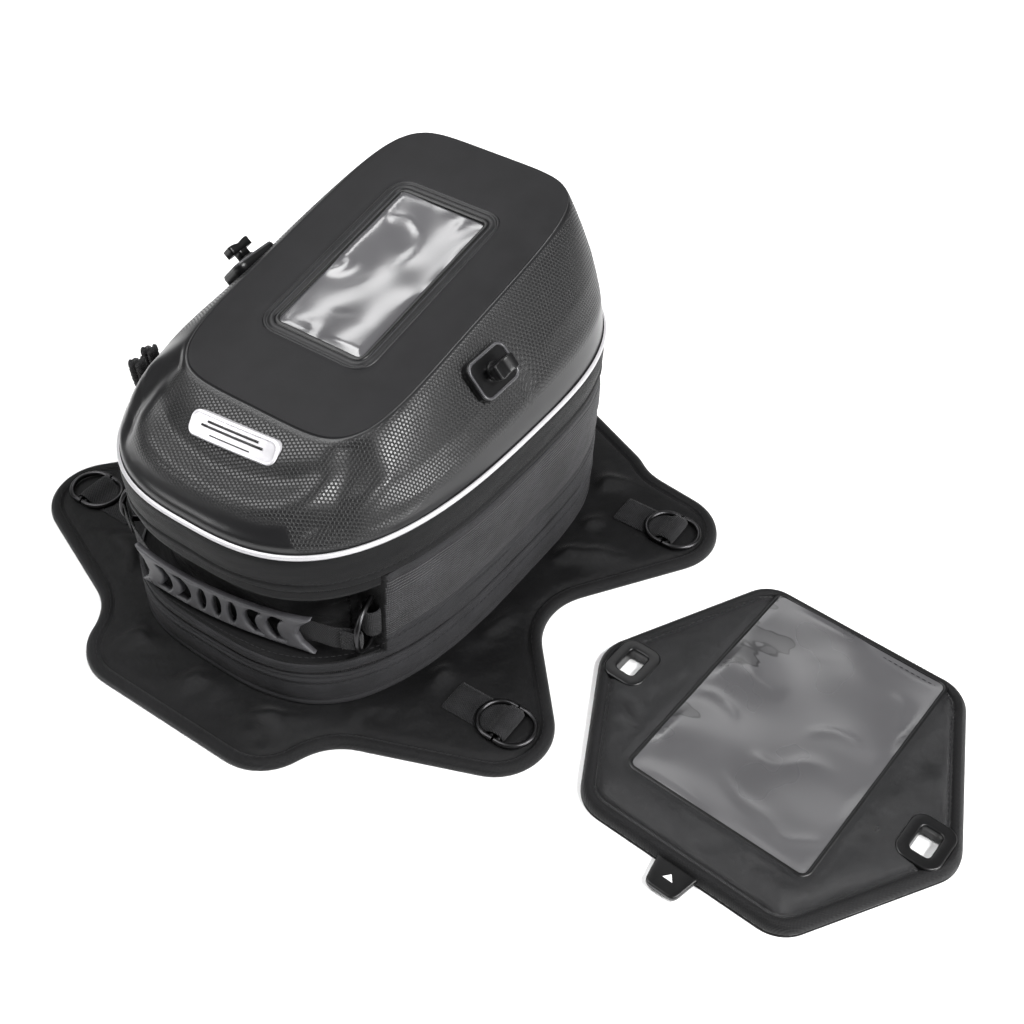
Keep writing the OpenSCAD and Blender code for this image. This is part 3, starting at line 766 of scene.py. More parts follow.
# The last value on each of the next three lines sets the painted highlight on sharp edges.
M_BLACK = satin("black_plastic", 0.003, 0.3, 0.03, spec=0.3, edge_highlight=0.06)
M_PLATE = satin("lock_plate_plastic", 0.04, 0.26, 0.03, spec=0.5, edge_highlight=0.3)
M_GRIP = satin("grip_rubber", 0.04, 0.44, 0.08, 1100, spec=0.35, edge_highlight=0.25)
M_THREAD = satin("thread", 0.012, 0.6, 0.05, spec=0.2)
M_TEETH = satin("zip_teeth", 0.006, 0.35, 0.03, spec=0.3)
M_UNDER = satin("grip_underlay", 0.01, 0.75, 0.25, 500, spec=0.2)
M_STEEL = metal("dark_metal", 0.035, 0.3)
M_MAGNET = metal("magnet_steel", 0.5, 0.35)
M_BADGE = metal("badge_silver", 0.66, 0.42, 0.03, 0.5)
M_PIPING = reflective("reflective_silver")
M_FILM = film("window_film_clear", 0.98, 0.18, 0.065)
M_CASE_FILM = film("case_film_clear", 0.97, 0.28, 0.05, 1.0, (CASE_X, CASE_Y + CASE_MID, 0),
                   CASE_TURN)
M_INSIDE = satin("dark_inside", 0.012, 0.6, 0.02, spec=0.2)
M_PRINT = satin("white_print", 0.7, 0.6, 0.02, blue=1.0)


def belongs(o, body, slot, *replaced):
    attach(o, body)
    if replaced:
        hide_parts(*replaced)
    return o


ANGLES, GIRTH = even_angles(ROUND)

# ---------- saddle mat ----------

BIND_W = 9.0
FOLDS = [  # start, end, half width and height of the soft folds in the mat
    ((62, -190), (30, -224), 11, 2.6), ((100, -150), (118, -182), 10, 2.4),
    ((-60, -188), (-70, -205), 10, 2.2), ((-118, -140), (-178, -118), 14, 2.8),
    ((-112, -150), (-130, -160), 9, 1.8), ((128, -95), (168, -128), 12, 2.8),
    ((130, -45), (152, -8), 11, 2.2), ((130, 40), (176, 62), 12, 3.0),
    ((132, 78), (168, 118), 10, 2.6), ((118, 120), (150, 146), 12, 2.4),
    ((-132, 60), (-172, 92), 12, 2.6), ((-120, 130), (-150, 142), 12, 2.2),
    ((40, 178), (60, 198), 12, 2.2), ((-46, 178), (-60, 196), 12, 2.2),
    ((0, -184), (-14, -222), 13, 2.4), ((-132, -40), (-150, -6), 11, 2.0),
]


def outline_of(node):
    """The outline of a CAD node's underside, as an even loop of points."""
    mesh = NODES[node].data
    co = np.array([v.co for v in mesh.vertices]) / MM
    low = co[:, 2].min()
    key = {}
    merged = [key.setdefault((round(c[0], 2), round(c[1], 2), round(c[2], 2)), i)
              for i, c in enumerate(co)]
    follows = {}
    for face in mesh.polygons:
        ids = [merged[v] for v in face.vertices]
        if abs(face.normal.z) > 0.5:
            continue
        for i, j in zip(ids, ids[1:] + ids[:1]):
            if abs(co[i, 2] - low) < 0.05 and abs(co[j, 2] - low) < 0.05:
                follows[i] = j
    start = next(iter(follows))
    loop, at = [start], follows[start]
    while at != start:
        loop.append(at)
        at = follows[at]
    return anticlockwise(co[loop][:, :2])


def mat_height(points, away):
    """Bound edge, seam and the padded middle with its soft folds."""
    keys = [(0, 2.4), (0.5, 4.6), (1.4, 5.9), (3.5, 6.9), (6, 6.7), (8.4, 5.2), (9.3, 3.9),
            (10.3, 4.4), (12, 5.3), (16, 6.0), (30, 6.2)]
    z = np.interp(away, *zip(*keys))
    p = at_height(points)
    free = smooth(away, 12, 34)
    for side in (-1, 1):
        for end in (-1, 1):
            centre = np.array([side * (RING_X - 14), end * RING_Y])
            free = free * smooth(np.hypot(*((points - centre) / [1.3, 1]).T), 26, 42)
    lift = 2.4 * swell(p, 95, 3) + 1.1 * swell(p, 38, 5)
    for (ax, ay), (bx, by), width, high in FOLDS:
        a, d = np.array([ax, ay]), np.array([bx - ax, by - ay])
        t = ((points - a) @ d) / (d @ d)
        gap = np.linalg.norm(points - a - np.clip(t, 0, 1)[:, None] * d, axis=1)
        lift += 2.3 * high * np.exp(-(gap / width) ** 2) * (0.75 + 0.25 * np.cos(gap / width * 3))
    z = z + free * np.maximum(lift, -1.6)
    base = resample(rim(ANGLES, MAT_T)[:, :2], 6)
    under_bag = inside(points, shrink(anticlockwise(base), 2.5))
    near = smooth(edge_distance(points, [base]), 0, 16)
    z = np.where(under_bag, np.minimum(z, MAT_T - 0.4), mix(np.minimum(z, 5.6), z, near))
    return z


def saddle_mat():
    outline = resample(outline_of("mat_pad"), 3.2)
    rows = (0, 0.5, 1.4, 3.5, 6, 8.4, 9.3, 10.3, 12, 15)
    o = slab("saddle_mat", [outline], 0.9, mat_height, M_MAT, rows, 3.4)
    o.data.materials.append(M_BIND)
    paint(o, edge_distance(face_middles(o)[:, :2], [outline]) < BIND_W + 0.3)
    belongs(o, "mat", "coated_fabric", "mat_pad", "mat_binding")
    under = slab("mat_grip_underlay", [resample(outline_of("mat_underlay"), 5)], 0.0,
                 lambda p, away: np.full(len(p), 0.9), M_UNDER)
    belongs(under, "mat", "grip_sheet", "mat_underlay")
    line = shrink(outline, BIND_W - 1.6)
    path = at_height(line, mat_height(line, np.full(len(line), BIND_W - 1.6)) + 0.12)
    stitches("mat_edge_stitches", np.vstack([path, path[:1]]), "mat", 3.2, 1.5, 0.26)


def webbing_tab(sx, sy, name):
    """Sewn tail and the loop over a ring pair's two bars."""
    place = on_ring(sx, sy)
    top = RING_Z + WIRE_R + 1.1
    path = [(-TAB_L, 0, 6.7), (-30, 0, 6.9), (-14, 0, 6.9), (-8.6, 0, 7.4), (-6.0, 0, 9.6),
            (-4.2, 0, top - 0.2), (-2, 0, top + 0.25), (2, 0, top + 0.25), (4.2, 0, top - 0.2),
            (5.9, 0, 9.3), (6.2, 0, 6.9), (4.6, 0, 6.3)]
    o = strap("webbing_tab_" + name, path, (0, 1, 0), WEBBING_W, 1.25, M_WEB, place)
    belongs(o, "mat", "coated_fabric", "ring_tab_" + name)
    x0, x1, y0 = -TAB_L + 3, -12.0, WEBBING_W / 2 - 2.2
    box = np.array([(x0, -y0), (x1, -y0), (x1, y0), (x0, y0), (x0, -y0), (x1, y0), (x1, -y0),
                    (x0, y0)])
    s = lengths(box)
    line = at_height(along(box, s, np.linspace(0, s[-1], 160)), 7.5)
    stitches("tab_stitches_" + name, place(line), "mat", 2.4, 1.1)


# ---------- bag bands ----------


def around(profile, step=0.9):
    """Fine heights and stand-outs from a few profile points."""
    z, out = np.array(profile, float).T
    s = lengths(np.stack([z, out], -1))
    at = np.linspace(0, s[-1], max(4, round(s[-1] / step)))
    return np.interp(at, s, z), np.interp(at, s, out)


def band_points(z, out, ripple, seed, angles=ANGLES):
    p = rim(angles[None, :], z[:, None])
    n = outward(p)
    soft = swell(p * [1, 1, 2.4], 70, seed) * ripple
    return p + n * (out[:, None] + soft)[..., None]


def band(name, profile, material, body, node, ripple, seed):
    """A cloth band round the bag, in place of one CAD node."""
    z, out = around(profile)
    o = grid(name, band_points(z, out, ripple, seed), material, thick=1.2)
    belongs(o, body, "coated_fabric", node)


def seam_stitches(name, z, out, body, ripple, seed):
    a = even_angles(900)[0]
    stitches(name, band_points(np.array([z]), np.array([out]), ripple, seed, a)[0], body)


def coil(name, z, body, node, inset, up):
    """Zip tape and its row of teeth along one edge of the opening."""
    n = 760
    a = even_angles(n)[0]
    p = rim(a, z)
    normal = outward(p)
    t = np.roll(p, -1, 0) - np.roll(p, 1, 0)
    t /= np.linalg.norm(t, axis=1, keepdims=True)
    w, d, h = 0.42, 0.75, 0.5
    corners = np.array([(x, y, k) for x in (-w, w) for y in (-d, d) for k in (-h, h)])
    c = p - normal * inset + np.array([0, 0, up * 0.55])
    points = (c[:, None] + t[:, None] * corners[None, :, :1]
              + normal[:, None] * corners[None, :, 1:2]
              + np.array([0, 0, 1.0]) * corners[None, :, 2:])
    cube = np.array([[0, 1, 3, 2], [4, 6, 7, 5], [0, 4, 5, 1], [2, 3, 7, 6], [0, 2, 6, 4],
                     [1, 5, 7, 3]])
    faces = (cube[None] + 8 * np.arange(n)[:, None, None]).reshape(-1, 4)
    o = put(name, points.reshape(-1, 3), faces, None, M_TEETH)
    belongs(o, body, "zip_coil", node)
    tape_z = np.linspace(z + up * 0.4, z + up * 9, 5)
    rows = band_points(tape_z, np.full(5, -inset), 0, 1)[::up]
    tape = grid(name + "_tape", rows, M_BAND, thick=0.5)
    belongs(tape, body, "zip_coil")


def lower_bag():
    profile = [(5.3, -0.6), (5.6, 0.5), (7.2, 1.3), (9.0, 1.2), (9.8, 0.1), (10.6, 0.3),
               (13, 1.0), (19, 1.5), (24.5, 1.1), (26.4, 0.2), (27.2, 0.6), (28.2, 1.6),
               (29.6, 1.6), (30.4, 0.7), (31.4, 0.5), (33.0, 1.1), (33.9, 0.6), (34.1, -1.2)]
    band("bottom_band", profile, M_WALL, "mat", "bottom_shell", 0.45, 2)
    seam_stitches("bottom_stitches", 25.8, 0.75, "mat", 0.45, 2)
    z, out = around([(13, -4.0), (20, -4.4), (28, -4.1), (38, -4.3)], 0.8)
    gusset = grid("gusset_cloth", band_points(z, out, 0.3, 4), M_LINING, thick=0.6)
    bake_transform(gusset)
    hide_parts("expansion_gusset")
    coil("expansion_teeth_lower", EXPAND_Z, "mat", "expansion_zip_lower", 1.3, -1)
    coil("expansion_teeth_upper", EXPAND_Z, "bag_upper", "expansion_zip_upper", 1.3, 1)
    base = anticlockwise(resample(rim(ANGLES, MAT_T + 3)[:, :2], 5))
    swelling = wavy(MAT_T + 3.2, 0.25, 60, 9)
    board = slab("floor_lining", [shrink(base, 7.2)], MAT_T + 1.6,
                 lambda p, away: swelling(p, away) + 0.8 * smooth(away, 0, 5), M_LINING,
                 (0, 1.5, 4), 8)
    belongs(board, "mat", "woven_fabric", "floor_board")


def bag_side():
    """The upper wall, with the deep recess behind the handle pressed into its front."""
    fine = even_angles(2400)[0]
    x, y, _ = np.moveaxis(rim(fine, 70), -1, 0)
    at_lip = (y < FRONT_Y) & (np.abs(np.abs(x) - RECESS_X) < 7)
    angles = np.sort(np.unique(np.concatenate([ANGLES, fine[at_lip][::3]])))
    profile = [(36.1, -0.9), (36.5, 0.5), (38, 1.1), (40.5, 1.0), (46, 1.5), (51, 1.1), (52.4, 0.2),
               (53.2, 0.4), (54.4, 1.4), (55.8, 1.4), (56.6, 0.5), (58, 0.7), (66, 1.7), (80, 2.1),
               (94, 1.7), (101, 0.9), (103.6, 0.5), (104.6, -0.1), (105.4, 0.7), (107.6, 1.0),
               (109.2, 0.4), (109.4, -1.2)]
    z, out = around(profile, 0.8)
    p = rim(angles[None, :], z[:, None])
    n = outward(p)
    x, front = p[..., 0], p[..., 1] < FRONT_Y
    high = RECESS_HIGH + 5.6
    into = smooth(np.abs(x), RECESS_X + 1.2, RECESS_X - 3.2) * front
    into = into * smooth(z[:, None], RECESS_LOW - 0.5, RECESS_LOW + 2.2)
    into = into * smooth(z[:, None], high, high - 1.2)
    lip = bump(np.abs(x), RECESS_X + 2.5, 1.8) * front * smooth(z[:, None], 44, 48)
    soft = swell(p * [1, 1, 2.2], 80, 6) * 0.7
    folds = swell(p * [0.6, 0.6, 1.6], 34, 8) * 1.6 * into
    depth = (RECESS_DEPTH - 1.6) * into
    push = out[:, None] * (1 - into) + soft * (1 - into) + folds + 0.9 * lip - depth
    p = p + n * push[..., None]
    u = lengths(rim(angles, 80))
    uv = np.stack(np.broadcast_arrays(np.append(u, GIRTH)[None, :], z[:, None]), -1)
    o = grid("side_wall", p, M_WALL, uv=uv, thick=1.2)
    o.data.materials.append(M_RIB)
    o.data.materials.append(M_BAND)
    x, y, height = face_middles(o).T
    recess = (y < FRONT_Y) & (np.abs(x) < RECESS_X + 2.5)
    rib = (height > 57) & (height < 103.8) & ~recess
    paint(o, rib + 2 * (recess & (height > RECESS_LOW)))
    belongs(o, "bag_upper", "woven_fabric", "bag_wall", "front_recess")
    seam_stitches("wall_stitches_low", 51.6, 0.9, "bag_upper", 0.7, 6)
    coil("zip_teeth_lower", ZIP_Z, "bag_upper", "main_zip_lower", 1.5, -1)
    coil("zip_teeth_upper", ZIP_Z, "lid", "main_zip_upper", 1.5, 1)


# ---------- lid ----------


def slope_share(t):
    """How far in the lid's slope has come at height share t: upright, a bend, then nearly flat."""
    knee = 0.55
    curve = 1 - (1 - t ** 1.4) ** (1 / 1.4)
    at = 1 - (1 - knee ** 1.4) ** (1 / 1.4)
    bent = np.where(t < knee, at * (t / knee) ** 1.7, at + (1 - at) * (t - knee) / (1 - knee))
    return mix(curve, bent, 0.55)


def lid_shell():
    rows, a = 78, even_angles(480, SEAM_Z)[0]
    t = np.linspace(0, 1, rows)[:, None]
    low, high, out = rim(a[None, :], SEAM_Z + 1.8), panel_edge(a[None, :]), slope_share(t)
    p = np.stack([mix(low[..., 0], high[..., 0], out), mix(low[..., 1], high[..., 1], out),
                  mix(low[..., 2], high[..., 2], t)], -1)
    du = np.roll(p, -1, 1) - np.roll(p, 1, 1)
    dv = np.gradient(p, axis=0)
    n = np.cross(du, dv)
    n /= np.linalg.norm(n, axis=2, keepdims=True)
    x, y = p[..., 0], p[..., 1]
    wide = np.abs(x)
    front = smooth(y, -84, -102)
    side = smooth(y, -128, -62) * smooth(y, 150, 110)
    crease = np.interp(wide, [0, 24, 43, 60, 76], [0.61, 0.64, 0.68, 0.73, 0.80])
    middle = smooth(wide, 76, 50)
    hollow = -3.2 * bump(t, crease, 0.11) * front * middle
    bulge = 3.2 * bump(t, crease * 0.55 + 0.06, 0.13) * front * middle
    valley_x = np.interp(t[:, 0], [0.2, 0.5, 0.7, 0.92], [80, 83, 80, 74])[:, None]
    valley = -3.6 * bump(wide, valley_x, 9) * front * smooth(t, 0.12, 0.34) * smooth(t, 1.0, 0.92)
    shoulder = 0.7 * bump(t, 0.30, 0.08) * side
    facet = 1.6 * bump(wide, 97, 8) * bump(t, 0.5, 0.25) * front
    roll = 0.9 * bump(t, 0.10, 0.07) * smooth(y, -60, -120)
    edge_line = -0.12 * smooth(t, 0.965, 1.0)
    wave = 0.12 * swell(p, 50, 12)
    p = p + n * (hollow + bulge + valley + shoulder + facet + roll + edge_line + wave)[..., None]
    edge = panel_edge(a)
    away = np.linalg.norm(np.diff(p, axis=0), axis=2)
    arc = np.vstack([np.cumsum(away[::-1], 0)[::-1], np.zeros((1, len(a)))])
    lead = rim(a, SEAM_Z)[:, :2] - edge[:, :2]
    lead /= np.linalg.norm(lead, axis=1, keepdims=True)
    uv = edge[None, :, :2] + lead[None] * arc[..., None]
    uv = np.concatenate([uv, uv[:, :1]], 1)
    along = smooth(y, -136, -66)
    limit = 0.25 * along + (1 - along) * mix(0.02, 0.34, smooth(wide, 76, 62))
    grain = smooth(t, limit - 0.06, limit + 0.09) * smooth(t, 0.985, 0.955)
    grain = grain * (1 - smooth(-x, 48, 72) * smooth(y, -60, -84))
    o = grid("lid_moulding", p, M_SHELL, uv=uv, grain=grain, thick=2.2)
    o.data.materials.append(M_LINING)
    o.modifiers["thickness"].material_offset = 1
    belongs(o, "lid", "moulded_shell", "lid_shell")


def top_panel():
    outline = anticlockwise(resample(panel_edge(even_angles(600, SEAM_Z)[0], 0.1)[:, :2], 3))
    hole = rounded_rectangle(WINDOW_W + 15, (WINDOW_L + 15) * math.cos(PANEL_TILT), 11, 2.5)
    hole = hole + [0, WINDOW_Y]
    slope = math.tan(PANEL_TILT)

    def height(points, away):
        outer = edge_distance(points, [outline])
        inner = edge_distance(points, [hole])
        flat = PANEL_Z + slope * (points[:, 1] - WINDOW_Y)
        crown = 0.5 * smooth(outer, 0, 10) + 1.2 * smooth(outer, 2, 36)
        dip = -0.7 * smooth(inner, 5, 0) * smooth(outer, 4, 12)
        soft = 0.18 * swell(at_height(points), 90, 21) * smooth(outer, 0, 20)
        return flat - 0.14 + crown + dip + soft

    o = slab("top_plateau", [outline, hole],
             lambda p, away: PANEL_Z + slope * (p[:, 1] - WINDOW_Y) - 1.6, height, M_PANEL,
             (0, 0.8, 1.8, 3.2, 5.5), 5)
    belongs(o, "lid", "smooth_panel", "top_panel")


def ring_round(w, l, r, profile, step=1.6):
    """Rows of points round a rounded rectangle; profile gives stand-out and height."""
    base = rounded_rectangle(w, l, r, step)
    flat = at_height(base)
    n = outward(flat)
    return np.stack([flat + n * d + np.array([0, 0, h]) for d, h in profile])


def window():
    lip = [(9.5, -1.2), (8.2, 1.35), (7.4, 1.5), (6.6, 0.9), (5.9, 0.35), (5.2, 0.7), (4.4, 1.35),
           (3.2, 1.55), (2.0, 1.3), (1.1, 0.7), (0.6, -0.1), (0.5, -1.0), (3.0, -1.4), (9.0, -1.4)]
    o = grid("window_lip", ring_round(WINDOW_W, WINDOW_L, 6, lip)[::-1], M_FRAME, place=on_panel)
    belongs(o, "lid", "smooth_panel", "window_frame")
    a = np.arange(11) * TAU / 10
    welt = ring_round(WINDOW_W - 1.2, WINDOW_L - 1.2, 5.4, circle(a) * [1.9, 1.0] + [0, 0.2])
    belongs(grid("window_welt", welt[::-1], M_BLACK, place=on_panel), "lid", "smooth_panel")
    clear_sheet("window_clear", WINDOW_W + 1, WINDOW_L + 1, 4, on_panel, M_FILM, "lid",
                "window_film", -0.6, 31, 1.5, 40)
    shell = [(7.0, -2.2), (7.0, -14.6), (5, -15.8), (-20, -15.9)]
    pocket = grid("phone_pocket_cloth", ring_round(WINDOW_W, WINDOW_L, 6, shell, 3)[::-1], M_LINING,
                  place=on_panel, thick=0.8)
    belongs(pocket, "lid", "woven_fabric", "phone_pocket")
    floor = slab("phone_pocket_floor", [rounded_rectangle(WINDOW_W + 12, WINDOW_L + 12, 8, 4)],
                 -15.8, wavy(-14.2, 0.3, 40, 33), M_INSIDE, (0, 2), 7, on_panel)
    belongs(floor, "lid", "woven_fabric")


def clear_sheet(name, w, l, r, place, material, body, node, top, seed, high, size, middle=0.0,
                bend=2.6, way=(0.75, 0.5)):
    """Soft clear film as a thin closed sheet, with creases square to way that bend curves."""
    def height(points, away):
        p = at_height(points)
        bent = bend * swell(p, 1.9 * size, seed + 1, 2)
        across = points @ np.array(way) / size * TAU / 2 + bent
        where = smooth(swell(p, 1.5 * size, seed + 2, 1), -0.35, 0.45)
        creases = (1 - np.abs(np.sin(across))) ** 2 * where
        soft = swell(p, 1.6 * size, seed, 1)
        return top + high * smooth(away, 0, 7) * (1.1 * soft + 0.8 * creases)

    loop = rounded_rectangle(w, l, r, 3) + [0, middle]
    o = slab(name, [loop], lambda p, away: height(p, away) - 0.35, height, material, (0, 2), 3.0,
             place)
    belongs(o, body, "clear_film", node)


def lid_trim():
    band("lid_band_cloth", [(111.2, -1.8), (110.8, -0.4), (111.2, 1.2), (112.6, 1.9), (115.0, 1.7),
                            (115.9, 0.7), (116.6, 0.9), (118, 1.7), (126, 2.3), (134, 1.7),
                            (136.6, 0.9), (137.6, 0.2)],
         M_BAND, "lid", "lid_band", 0.5, 14)
    seam_stitches("lid_band_stitches", 117.4, 1.75, "lid", 0.5, 14)
    a = even_angles(420, SEAM_Z)[0]
    edge = rim(a, SEAM_Z)
    n = outward(edge)
    o = grid("piping_silver", tube(edge + n * 0.9 - [0, 0, 0.1], 1.95, 14, True), M_PIPING)
    belongs(o, "lid", "reflective_silver", "reflective_piping")
    for name, up, d in (("upper", 1.5, 0.2), ("lower", -2.4, 0.6)):
        line = tube(rim(a, SEAM_Z + up) + n * d, 0.75, 8, True)
        belongs(grid("piping_tape_" + name, line, M_BIND), "lid", "coated_fabric")


def badge():
    """A bowed plate with a raised border and plain bars in place of the mark."""
    outline = rounded_rectangle(BADGE_W, BADGE_H, 5.5, 0.9)
    plate = slab("badge_plate", [outline], -8.0, rounding(3.2, 0.9), M_BADGE, rows_for(0.9), 3,
                 on_badge)
    belongs(plate, "lid", "badge_silver", "badge")
    path = at_height(rounded_rectangle(BADGE_W - 2.6, BADGE_H - 2.6, 4.6, 0.9), 3.3)
    border = grid("badge_border", tube(on_badge(path), 0.8, 8, True), M_BADGE)
    belongs(border, "lid", "badge_silver")
    bars = []
    for w, y, thick in ((38, 3.4, 0.8), (46, 0.3, 0.8), (30, -4.2, 0.4)):
        line = at_height(np.linspace((-w / 2, y), (w / 2, y), 15), 3.25)
        bars.append(tube(on_badge(line), thick, 8))
    belongs(joined("badge_bars", bars, M_BLACK), "lid", "badge_silver")


def turn_lock(side, name):
    place = on_lock(side)
    flip = 1 if side > 0 else -1
    plate = slab("lock_plate_" + name, [rounded_rectangle(28, 38, 7, 1.0)[::flip]], -6.0,
                 rounding(1.5, 0.8), M_BLACK, rows_for(0.8), 3, place)
    belongs(plate, "lid", "black_plastic", "lock_base_" + name)
    ring = tube(place(at_height(rounded_rectangle(25.4, 35.4, 6, 1.0), 1.7)), 1.0, 10, True)
    belongs(grid("lock_rim_" + name, ring, M_PLATE), "lid", "black_plastic")
    a = np.linspace(0, TAU, 33)[:-1]
    steps = ((6.4, 0.5), (6.4, 3.7), (6.0, 4.3), (3.2, 4.4))
    boss = [at_height(r * circle(a), z) for r, z in steps]
    o = grid("lock_boss_" + name, np.stack(boss)[::flip], M_BLACK, place=place)
    belongs(o, "lid", "black_plastic")


def lock_toggle(side, name):
    """The turning half of a lock: a stout stem under a square-ended bar."""
    place = on_lock(side)
    stem = slab("lock_stem_" + name, [rounded_rectangle(8.5, 8.5, 2.0, 0.9)], 4.6,
                rounding(10.5, 0.6), M_BLACK, rows_for(0.6), 3, place)
    belongs(stem, "lock_" + name, "black_plastic", "lock_knob_" + name)
    bar = slab("lock_bar_" + name, [rounded_rectangle(10.5, 18.5, 1.6, 0.9)], 9.2,
               lambda p, away: rounding(15.6, 1.0)(p, away) - 1.2 * bump(p[:, 1], 0, 3.2),
               M_BLACK, rows_for(1.0), 2, place)
    belongs(bar, "lock_" + name, "black_plastic")


def lid():
    lid_shell()
    top_panel()
    window()
    lid_trim()
    badge()
    for side, name in SIDES:
        turn_lock(side, name)
        lock_toggle(side, name)


def hinge():
    """One cloth strip across the lid's rear hinge."""
    z, out = np.linspace(96.5, 123.5, 28), 1.9 + 0.5 * bump(np.linspace(-1, 1, 28), 0, 0.3)
    a = np.linspace(math.radians(90) - 0.9, math.radians(90) + 0.9, 400)
    a = a[np.abs(rim(a, ZIP_Z)[:, 0]) < HINGE_HALF][::3]
    p = rim(a[None, :], z[:, None])
    d = np.gradient(p, axis=1)
    n = np.stack([d[..., 1], -d[..., 0], 0 * d[..., 0]], -1)
    n /= np.linalg.norm(n, axis=2, keepdims=True)
    o = grid("hinge_strip_cloth", p + n * out[:, None, None], M_BAND, closed=False, thick=0.9)
    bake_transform(o)
    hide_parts("hinge_strip_lower", "hinge_strip_upper")


# ---------- handle ----------


def crescent(x, side):
    """One bowed gap of the grip, opening towards its middle."""
    r, inner, shift = 12.6, 12.8, 8.2
    outer = r * circle(np.linspace(-1.05, 1.05, 22))
    back = circle(np.linspace(0.98, -0.98, 22)) * [inner, inner * 0.93] - [shift, 0]
    return np.vstack([outer, back]) * [side, 1] + [x - side * r * 0.55, 0]


def grip_face():
    """The grip's outline: wide at its ends, each with a notch."""
    half, top = GRIP_L / 2, GRIP_H / 2
    return np.array([
        (-half, top), (-half + 6, top - 1.2), (-half + 22, top - 2.6), (-20, top - 3),
        (20, top - 3), (half - 22, top - 2.6), (half - 6, top - 1.2), (half, top),
        (half - 8, top * 0.5), (half - 11, 0), (half - 8, -top * 0.5), (half, -top),
        (half - 9, -top + 1.6), (half - 24, -top + 2.4), (20, -top + 2.8), (-20, -top + 2.8),
        (-half + 24, -top + 2.4), (-half + 9, -top + 1.6), (-half, -top),
        (-half + 8, -top * 0.5), (-half + 11, 0), (-half + 8, top * 0.5)])


def grip():
    lean, oval = 0.14, circle(np.linspace(0, TAU, 61)[:-1])
    oval = resample(np.stack([3.5 * curl(oval[:, 0], 1.15), 10.8 * oval[:, 1]], -1), 0.8)
    oval = turned(at_height(oval), -lean)[:, :2]
    loops = [resample(anticlockwise(grip_face()), 1.1)] + [oval + [x, 0] for x in (-12, 0, 12)]
    loops += [resample(anticlockwise(crescent(side * x, -side)), 0.9)
              for side, _ in SIDES for x in (27, 43)]

    def place(p):
        return on_grip(np.stack([p[..., 0], -p[..., 2], p[..., 1]], -1))

    def height(points, away):
        ends = smooth(np.abs(points[:, 0]), 46, 66)
        edge = rounding(3.0, 1.3)(points, away)
        return edge + 0.8 * bump(points[:, 1], 0, 7) * ends * smooth(away, 0, 3)

    o = slab("grip_moulding", loops, lambda p, away: -1.9 + 0.6 * smooth(away, 1.2, 0), height,
             M_GRIP, (0, 0.25, 0.7, 1.3), 2.6, place)
    belongs(o, "handle", "grip_rubber", "handle_grip")


def handle_strap(side, name):
    """Webbing from the grip's end, bunched through its ring and back."""
    def offset(x, y):
        return [side * x, y, 0]

    inner = on_grip(np.array([side * (GRIP_L / 2 - 22), 3.2, 0.0]))
    notch = on_grip(np.array([side * (GRIP_L / 2 - 8), 3.4, 0.0]))
    ring = np.array([side * (HANDLE_X + 5.2), HANDLE_Y - 19.0, HANDLE_Z])
    bend = mix(notch, ring, 0.55) + offset(1.5, -2.0)
    path = [inner, notch, bend, ring + offset(-0.4, 1.0), ring + offset(2.2, 1.6),
            ring + offset(2.8, -1.4), ring + offset(-1.0, -3.2),
            mix(bend, ring, 0.35) - [0, 1.6, 0]]
    s = lengths(np.array(path))
    width = np.interp(np.linspace(0, s[-1], strap_steps(s)), s, [20, 20, 19, 16, 15, 15, 16, 18])
    o = strap("handle_strap_" + name, path, (0, 0, 1), width, 1.4, M_WEB,
              sag=lambda u, v: 0.5 * np.sin(5 * u + 2 * v))
    belongs(o, "handle", "coated_fabric", "handle_webbing_" + name)


def handle_loop(side, name):
    """The tab of webbing that holds a handle ring to the wall."""
    loop = [(3.4, 4.5), (-3, 6.3), (-6.4, 2), (-6.2, -3),
            (-2, -6.4), (3.4, -6.2), (6.4, -2), (6.2, 3)]
    loop = (np.array(loop) + [HANDLE_X, HANDLE_Y]) * [side, 1]
    p = at_height(resample(loop, 1.6), HANDLE_Z)
    o = strap("handle_loop_" + name, np.vstack([p, p[:1]]), (0, 0, 1), 22.5, 1.3, M_WEB)
    belongs(o, "bag_upper", "coated_fabric", "handle_tab_" + name)


def handle():
    grip()
    for side, name in SIDES:
        handle_strap(side, name)
        handle_loop(side, name)


# ---------- zip pulls ----------


def cord_pull(end, a, turn):
    """A braided cord in a wire loop, leaning out from its slider."""
    at_wall = on_slider(a, ZIP_Z, turn)
    lean = math.radians(-20)

    def place(p):
        x, y, z = np.moveaxis(p, -1, 0)
        c, s = math.cos(lean), math.sin(lean)
        return at_wall(np.stack([x * c + z * s - 5.3, y, -x * s + z * c], -1))

    s = np.linspace(0, 1, 90)
    strands = []
    for k in range(3):
        phase = s * 4.5 * TAU + k * TAU / 3
        path = [6 * s ** 2 + 4.6 * np.cos(phase), 2.6 * np.sin(2 * phase), 9 + 30 * s]
        strands.append(tube(place(np.stack(path, -1)), 2.0, 8))
    body = "pull_" + end
    belongs(joined("cord_pull_" + end, strands, M_CORD), body, "cord_black", "main_pull_" + end)
    wire = [(-4.4, 0), (-4.4, 12), (-3.4, 14.5), (0, 15.5), (3.4, 14.5), (4.4, 12), (4.4, 0)]
    wire = resample(np.array([(0, y, z) for y, z in wire], float), 1.2)
    belongs(grid("pull_wire_" + end, tube(place(wire), 0.85, 8, True), M_STEEL), body,
            "dark_metal")


# ---------- map case ----------

CORNERS = [(60, 97, 26), (103, 1, 28), (58, -81, 26)]  # x, y and radius, mirrored in x


